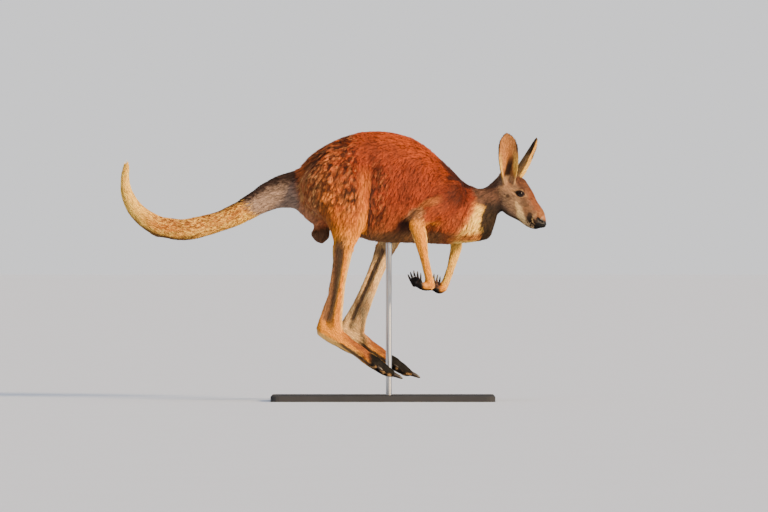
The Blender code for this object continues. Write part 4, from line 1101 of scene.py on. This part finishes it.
def coat(piece, parts, side, seed):
    """Lay one piece of the pelt."""
    rng = np.random.default_rng(seed)
    part = main_part[triangles[:, 0]]
    here = np.isin(part, [NAMES.index(n) for n in parts])
    if side:
        here &= np.sign(spread[:, :, 1].mean(axis=1)) == side
    wanted = area * here * np.array([TUFTS[n][2] for n in NAMES])[part]
    wanted *= 1 - bare[triangles].mean(axis=1)
    count = min(int(wanted.sum()), MOST_TUFTS)
    # roots spread evenly over the area, a little shuffled
    steps = np.cumsum(wanted) / wanted.sum()
    pick = np.searchsorted(steps, (np.arange(count) + rng.random(count)) / count)
    share = rng.random((count, 2))
    share = np.where(share.sum(axis=1)[:, None] > 1, 1 - share, share)
    share = np.column_stack((1 - share.sum(axis=1), share))

    def at_root(values):
        """Values on the skin's vertices, carried to the roots."""
        return (values[triangles[pick]] * (share if values.ndim == 1 else share[:, :, None])).sum(axis=1)

    p, n = at_root(points), at_root(normals)
    n /= np.linalg.norm(n, axis=1)[:, None]
    root_shares = {name: at_root(shares[name]) for name in NAMES}
    where_side = np.sign(p[:, 1])
    run = hair_lie(p, n, root_shares, where_side)
    across = np.cross(n, run)
    length, width, density, unruly, breadth = (
        sum(root_shares[k][:, None] * np.array(TUFTS[k]) for k in NAMES)).T
    lock, along, off = gathered(p, n, run, across, breadth, density, rng)
    own = rng.normal(0, 1, (lock.max() + 1, 4)).clip(-2, 2)[lock]
    ragged = roughness(p) * (root_shares["trunk"] + root_shares["thigh"])
    rough = 1 + ragged
    turn = 0.7 * rng.normal(0, 1, count) + 1.0 * own[:, 0] + 1.6 * (clouds(p, 0.05, 91) - 0.5)
    turn *= unruly * rough
    run, across = (run * np.cos(turn)[:, None] + across * np.sin(turn)[:, None],
                   across * np.cos(turn)[:, None] - run * np.sin(turn)[:, None])
    room = at_root(depth) - LEAST_SWELL * 0.5
    tip_lift = room * (0.50 + 0.28 * rng.random(count)) * (0.78 + 0.14 * own[:, 1] + 0.18 * along)
    tip_lift = tip_lift.clip(0.0002, 1.05 * room) * (1 + 0.18 * (rough - 1)) + 0.0002
    length *= 0.70 + 0.45 * rng.random(count)
    length *= (1 + 0.10 * own[:, 2]) * (1 + 0.15 * (rough - 1))
    half = 0.5 * width * (0.75 + 0.5 * rng.random(count))
    brush = root_shares["tail_tip"] * ramp(p[:, 2], 0.73, 0.79)
    tip_lift += TAIL_BRUSH * brush
    length *= 1 + 0.35 * brush
    bend = rng.normal(0, 0.08, count) * length - 0.30 * breadth * off.clip(-1.3, 1.3)

    def spine(reach, lift, sway):
        """A point of every blade's middle line: along it, off the skin and to the side."""
        return (p + run * (length * reach)[:, None] + n * (tip_lift * lift)[:, None]
                + across * (bend * sway)[:, None])

    low, mid, tip = spine(0.0, 0.0, 0.0), spine(0.52, 0.72, 0.35), spine(1.0, 1.0, 1.0)
    side_step, ridge = across * half[:, None], n * (half * 0.75)[:, None]
    sunk = n * 0.0003
    rows = (low - side_step - sunk, low + ridge, low + side_step - sunk,
            mid - side_step * 0.85, mid + ridge * 0.9, mid + side_step * 0.85, tip)
    made = np.stack(rows, axis=1).reshape(-1, 3)
    blades = np.arange(count)[:, None]
    loops = (blades * len(rows) + BLADE_FACES).ravel()
    mesh = bpy.data.meshes.new(piece)
    mesh.vertices.add(count * len(rows))
    mesh.vertices.foreach_set("co", made.ravel())
    mesh.loops.add(len(loops))
    mesh.loops.foreach_set("vertex_index", loops.astype(np.int32))
    starts = blades * len(BLADE_FACES) + FACE_STARTS
    mesh.polygons.add(count * len(FACE_STARTS))
    mesh.polygons.foreach_set("loop_start", starts.ravel().astype(np.int32))
    mesh.update(calc_edges=True)

    tone = hair_colour(p, n, root_shares, where_side, at_root(lid_gap))
    # locks differ in tone, and painted shade darkens them along their sides and where the lock before lies
    # over them
    shade = (1 + rng.normal(0, 0.11, count)) * (1 + 0.12 * own[:, 3] * rough)
    shade *= (0.93 + 0.12 * along) * (1.07 - 0.24 * rough * np.minimum(off ** 2, 1.0))
    shade = np.where(rng.random(count) < 0.09, shade * 0.60, shade).clip(0.25, 1.7)
    tone = dyed(tone, (RUMP_DARK_AND_SHADE, 0.62 * ragged * ramp(own[:, 3], -0.15, -0.60)))
    tone = np.clip(tone * shade[:, None], 0, 1)
    dye_layer(mesh, np.clip(tone[:, None, :] * POINT_TONES[None, :, None], 0, 1).reshape(-1, 3))
    uv_root = (unwrap[corners[pick]] * share[:, :, None]).sum(axis=1)
    uv = (uv_root[:, None, :] + POINT_PATCH[None]).reshape(-1, 2)[loops]
    mesh.uv_layers.new(name="OFBake")
    mesh.uv_layers[0].uv.foreach_set("vector", np.clip(uv, 0, 1).ravel())
    mesh.materials.append(hair_material)
    obj = mesh_object(piece, mesh)
    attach(obj, "root")


for number, (piece, parts, side, slot) in enumerate(COATS):
    coat(piece, parts, side, 100 + number)

# ================================================================ eyes
# Glass eyes as a mount has: cast balls with a dark brown iris, a wide black pupil and a
# slightly bulging clear cornea, set behind the lids.
CORNEA_BULGE, CORNEA_RING = 0.0009, 0.62


def glass_eye(side):
    """One eye's ball, with its distance from the pupil's middle stored on its points."""
    gaze, length, height = eye_axes(side)
    bm = bmesh.new()
    turn = Matrix((length, height, gaze)).transposed().to_4x4()
    bmesh.ops.create_uvsphere(bm, u_segments=48, v_segments=32, radius=EYE_RADIUS)
    for v in bm.verts:
        ring = math.hypot(v.co.x, v.co.y) / EYE_RADIUS
        if v.co.z > 0 and ring < CORNEA_RING:
            v.co += v.co.normalized() * CORNEA_BULGE * (1 - (ring / CORNEA_RING) ** 2)
    iris = []
    for v in bm.verts:
        ring = math.hypot(v.co.x, v.co.y * 1.12) / EYE_RADIUS
        iris.append(ring if v.co.z > 0 else 1.0)
    bm.transform(Matrix.Translation(eyes[side]) @ turn)
    bmesh.ops.recalc_face_normals(bm, faces=bm.faces)
    mesh = mesh_of(bm, "glass_eye_" + side)
    layer = mesh.attributes.new("ring", "FLOAT", "POINT")
    layer.data.foreach_set("value", iris)
    smooth_shaded(mesh)
    return mesh_object("glass_eye_" + side, mesh)


def eye_finish():
    """Cast glass: black pupil, dark brown iris with a darker edge, dark white of the eye."""
    material, tree, shader = finish("glass_eye", Roughness=0.12, Coat_Weight=0.15, Coat_Roughness=0.03,
                                    Specular_IOR_Level=0.12)
    ring = node_in(tree, "ShaderNodeAttribute", attribute_name="ring").outputs["Fac"]
    bands = node_in(tree, "ShaderNodeValToRGB", [("Fac", ring)])
    stops = ((0.0, "#050404"), (0.34, "#060403"), (0.40, "#180c07"), (0.58, "#201008"), (0.66, "#0e0805"),
             (0.75, "#1c1310"))
    bands.color_ramp.elements[0].position, bands.color_ramp.elements[1].position = 0.0, stops[-1][0]
    for position, _ in stops[1:-1]:
        bands.color_ramp.elements.new(position)
    for element, (_, shade) in zip(bands.color_ramp.elements, stops):
        element.color = (*linear(shade), 1.0)
    tree.links.new(bands.outputs["Color"], shader.inputs["Base Color"])
    return material


glass = eye_finish()
for side in SIDES:
    ball = glass_eye(side)
    ball.data.materials.append(glass)
    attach(ball, "root")
    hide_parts("eye_" + side)

# ================================================================ claws
# Black horn, smooth and slightly ridged along its length, each claw rounded from its packed
# solid and fixed in its toe or finger.
ROUNDING_LOSS = {"toe": 0.0005, "finger": 0.0003}      # given back after the edges are rounded


def horn_finish():
    """Black claw horn: a dull polish over fine lengthwise ridges, drawn 0.8 mm wide, about three
    times as coarse as they are, so that they show."""
    material, tree, shader = finish("black_claw_horn", Roughness=0.34, Specular_IOR_Level=0.5)
    place = node_in(tree, "ShaderNodeTexCoord").outputs["Object"]
    grain = node_in(tree, "ShaderNodeMapping", [("Vector", place)], Scale=(0.25, 1.0, 1.0))
    ridges = node_in(tree, "ShaderNodeTexNoise", [("Vector", grain.outputs["Vector"])],
                     Scale=1000 / 0.8, Detail=3.0)
    tone = node_in(tree, "ShaderNodeValToRGB", [("Fac", ridges.outputs["Fac"])])
    tone.color_ramp.elements[0].color = (*linear("#0c0a09"), 1.0)
    tone.color_ramp.elements[1].color = (*linear("#332a24"), 1.0)
    bump = node_in(tree, "ShaderNodeBump", [("Height", ridges.outputs["Fac"])],
                   Strength=0.35, Distance=0.0003)
    tree.links.new(tone.outputs["Color"], shader.inputs["Base Color"])
    tree.links.new(bump.outputs["Normal"], shader.inputs["Normal"])
    return material


horn = horn_finish()
for node in sorted(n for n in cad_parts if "_claw_" in n):
    bm = merged_copy(node)
    bmesh.ops.recalc_face_normals(bm, faces=bm.faces)
    claw = mesh_object("horn_" + node, mesh_of(bm, "horn_" + node))
    settled(claw, ("SUBSURF", {"levels": 2, "render_levels": 2}))
    swell = ROUNDING_LOSS[node.split("_")[0]] * normals_of(claw.data)
    move_points(claw.data, points_of(claw.data) + swell)
    smooth_shaded(claw.data)
    claw.data.materials.clear()
    claw.data.materials.append(horn)
    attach(claw, "root")
    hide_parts(node)

# ================================================================ stand
# A flat plate of painted aluminium and one round rod of brushed stainless steel that enters
# the belly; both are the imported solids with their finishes.


def paint_finish():
    """Matt charcoal powder coat: no shine, faint orange peel, slight wear of tone."""
    material, tree, shader = finish("matt_powder_coat", Roughness=0.8, Specular_IOR_Level=0.12)
    place = node_in(tree, "ShaderNodeTexCoord").outputs["Object"]
    peel = node_in(tree, "ShaderNodeTexNoise", [("Vector", place)], Scale=1000 / 2.5, Detail=2.0)
    haze = node_in(tree, "ShaderNodeTexNoise", [("Vector", place)], Scale=1000 / 90, Detail=4.0)
    tone = node_in(tree, "ShaderNodeValToRGB", [("Fac", haze.outputs["Fac"])])
    tone.color_ramp.elements[0].color = (*linear("#2c2e31"), 1.0)
    tone.color_ramp.elements[1].color = (*linear("#383a3e"), 1.0)
    bump = node_in(tree, "ShaderNodeBump", [("Height", peel.outputs["Fac"])], Strength=0.25, Distance=0.0004)
    tree.links.new(tone.outputs["Color"], shader.inputs["Base Color"])
    tree.links.new(bump.outputs["Normal"], shader.inputs["Normal"])
    return material


def steel_finish():
    """Brushed stainless steel: a soft band of shine, its brushing run round the rod by the lathe
    and drawn 0.8 mm wide, coarser than it is, so that it shows."""
    material, tree, shader = finish("brushed_stainless_steel", Metallic=1.0, Roughness=0.3)
    place = node_in(tree, "ShaderNodeTexCoord").outputs["Object"]
    flat = node_in(tree, "ShaderNodeMapping", [("Vector", place)], Scale=(0.05, 0.05, 1.0))
    brush = node_in(tree, "ShaderNodeTexNoise", [("Vector", flat.outputs["Vector"])],
                    Scale=1000 / 0.8, Detail=4.0)
    tone = node_in(tree, "ShaderNodeValToRGB", [("Fac", brush.outputs["Fac"])])
    tone.color_ramp.elements[0].color = (*linear("#a9aaac"), 1.0)
    tone.color_ramp.elements[1].color = (*linear("#c9cacb"), 1.0)
    bump = node_in(tree, "ShaderNodeBump", [("Height", brush.outputs["Fac"])], Strength=0.2, Distance=0.0002)
    tree.links.new(tone.outputs["Color"], shader.inputs["Base Color"])
    tree.links.new(bump.outputs["Normal"], shader.inputs["Normal"])
    return material


for node, material in (("stand_base", paint_finish()), ("stand_rod", steel_finish())):
    surface = bpy.data.objects[node].data.materials
    surface.clear()
    surface.append(material)

# ================================================================ room
# A wide flat studio floor of pale paper, a low warm lamp from the right front, soft cool light
# from above, and a pale room whose walls are brighter than its ceiling.
PAPER, FLOOR_RADIUS = "#d0dae8", 190.0


def floor_finish():
    """Matt pale studio paper: no shine, and faintly uneven in tone, three patches to the metre."""
    material, tree, shader = finish("matt_studio_paper", Roughness=0.9)
    place = node_in(tree, "ShaderNodeTexCoord").outputs["Object"]
    tooth = node_in(tree, "ShaderNodeTexNoise", [("Vector", place)], Scale=3.0, Detail=4.0)
    tone = node_in(tree, "ShaderNodeValToRGB", [("Fac", tooth.outputs["Fac"])])
    tone.color_ramp.elements[0].color = (*(linear(PAPER) * 0.98), 1.0)
    tone.color_ramp.elements[1].color = (*(linear(PAPER) * 1.02), 1.0)
    tree.links.new(tone.outputs["Color"], shader.inputs["Base Color"])
    return material


ground = bmesh.new()
bmesh.ops.create_circle(ground, cap_ends=True, segments=96, radius=FLOOR_RADIUS)
floor = mesh_object("floor", mesh_of(ground, "floor"))
floor.data.materials.append(floor_finish())


def lamp(name, place, strength, spread, shade, glint=False):
    """A far lamp whose light falls evenly over the floor, soft by its spread in degrees."""
    light = bpy.data.lights.new(name, "SUN")
    light.energy, light.angle, light.color = strength, math.radians(spread), linear(shade)
    obj = bpy.data.objects.new(name, light)
    obj.location = place
    obj.rotation_euler = Vector(place).to_track_quat("Z", "Y").to_euler()
    obj.visible_glossy = glint
    bpy.context.scene.collection.objects.link(obj)


lamp("key", (10.2, -9.6, 4.5), 8.6, 10, "#ffdcae", glint=True)
lamp("overhead", (0.6, -1.5, 6.0), 1.6, 60, "#ecf0ff")
world = bpy.data.worlds.new("room")
world.use_nodes = True
room = world.node_tree
way = node_in(room, "ShaderNodeTexCoord").outputs["Generated"]
height = node_in(room, "ShaderNodeSeparateXYZ", [("Vector", way)]).outputs["Z"]
brightness = node_in(room, "ShaderNodeMapRange", [("Value", height)], interpolation_type="SMOOTHSTEP",
                     From_Min=0.05, From_Max=0.22, To_Min=1.265, To_Max=0.46)
walls = room.nodes["Background"]
walls.inputs["Color"].default_value = (*linear("#e7e7e9"), 1.0)
room.links.new(brightness.outputs["Result"], walls.inputs["Strength"])
bpy.context.scene.world = world

# ================================================================ camera
# Far off and square to the animal's right side, half a metre above the floor, so that it is
# seen almost without perspective.
FRAME_WIDTH, LENS, SENSOR, AIM = 2.611, 390.0, 36.0, (0.0136, 0.4930)
lens = bpy.data.cameras.new("camera")
lens.lens, lens.sensor_width = LENS, SENSOR
lens.clip_end = 400.0
camera = bpy.data.objects.new("camera", lens)
camera.location = (AIM[0], -FRAME_WIDTH * LENS / SENSOR, AIM[1])
camera.rotation_euler = (math.radians(90), 0, 0)
bpy.context.scene.collection.objects.link(camera)
bpy.context.scene.camera = camera
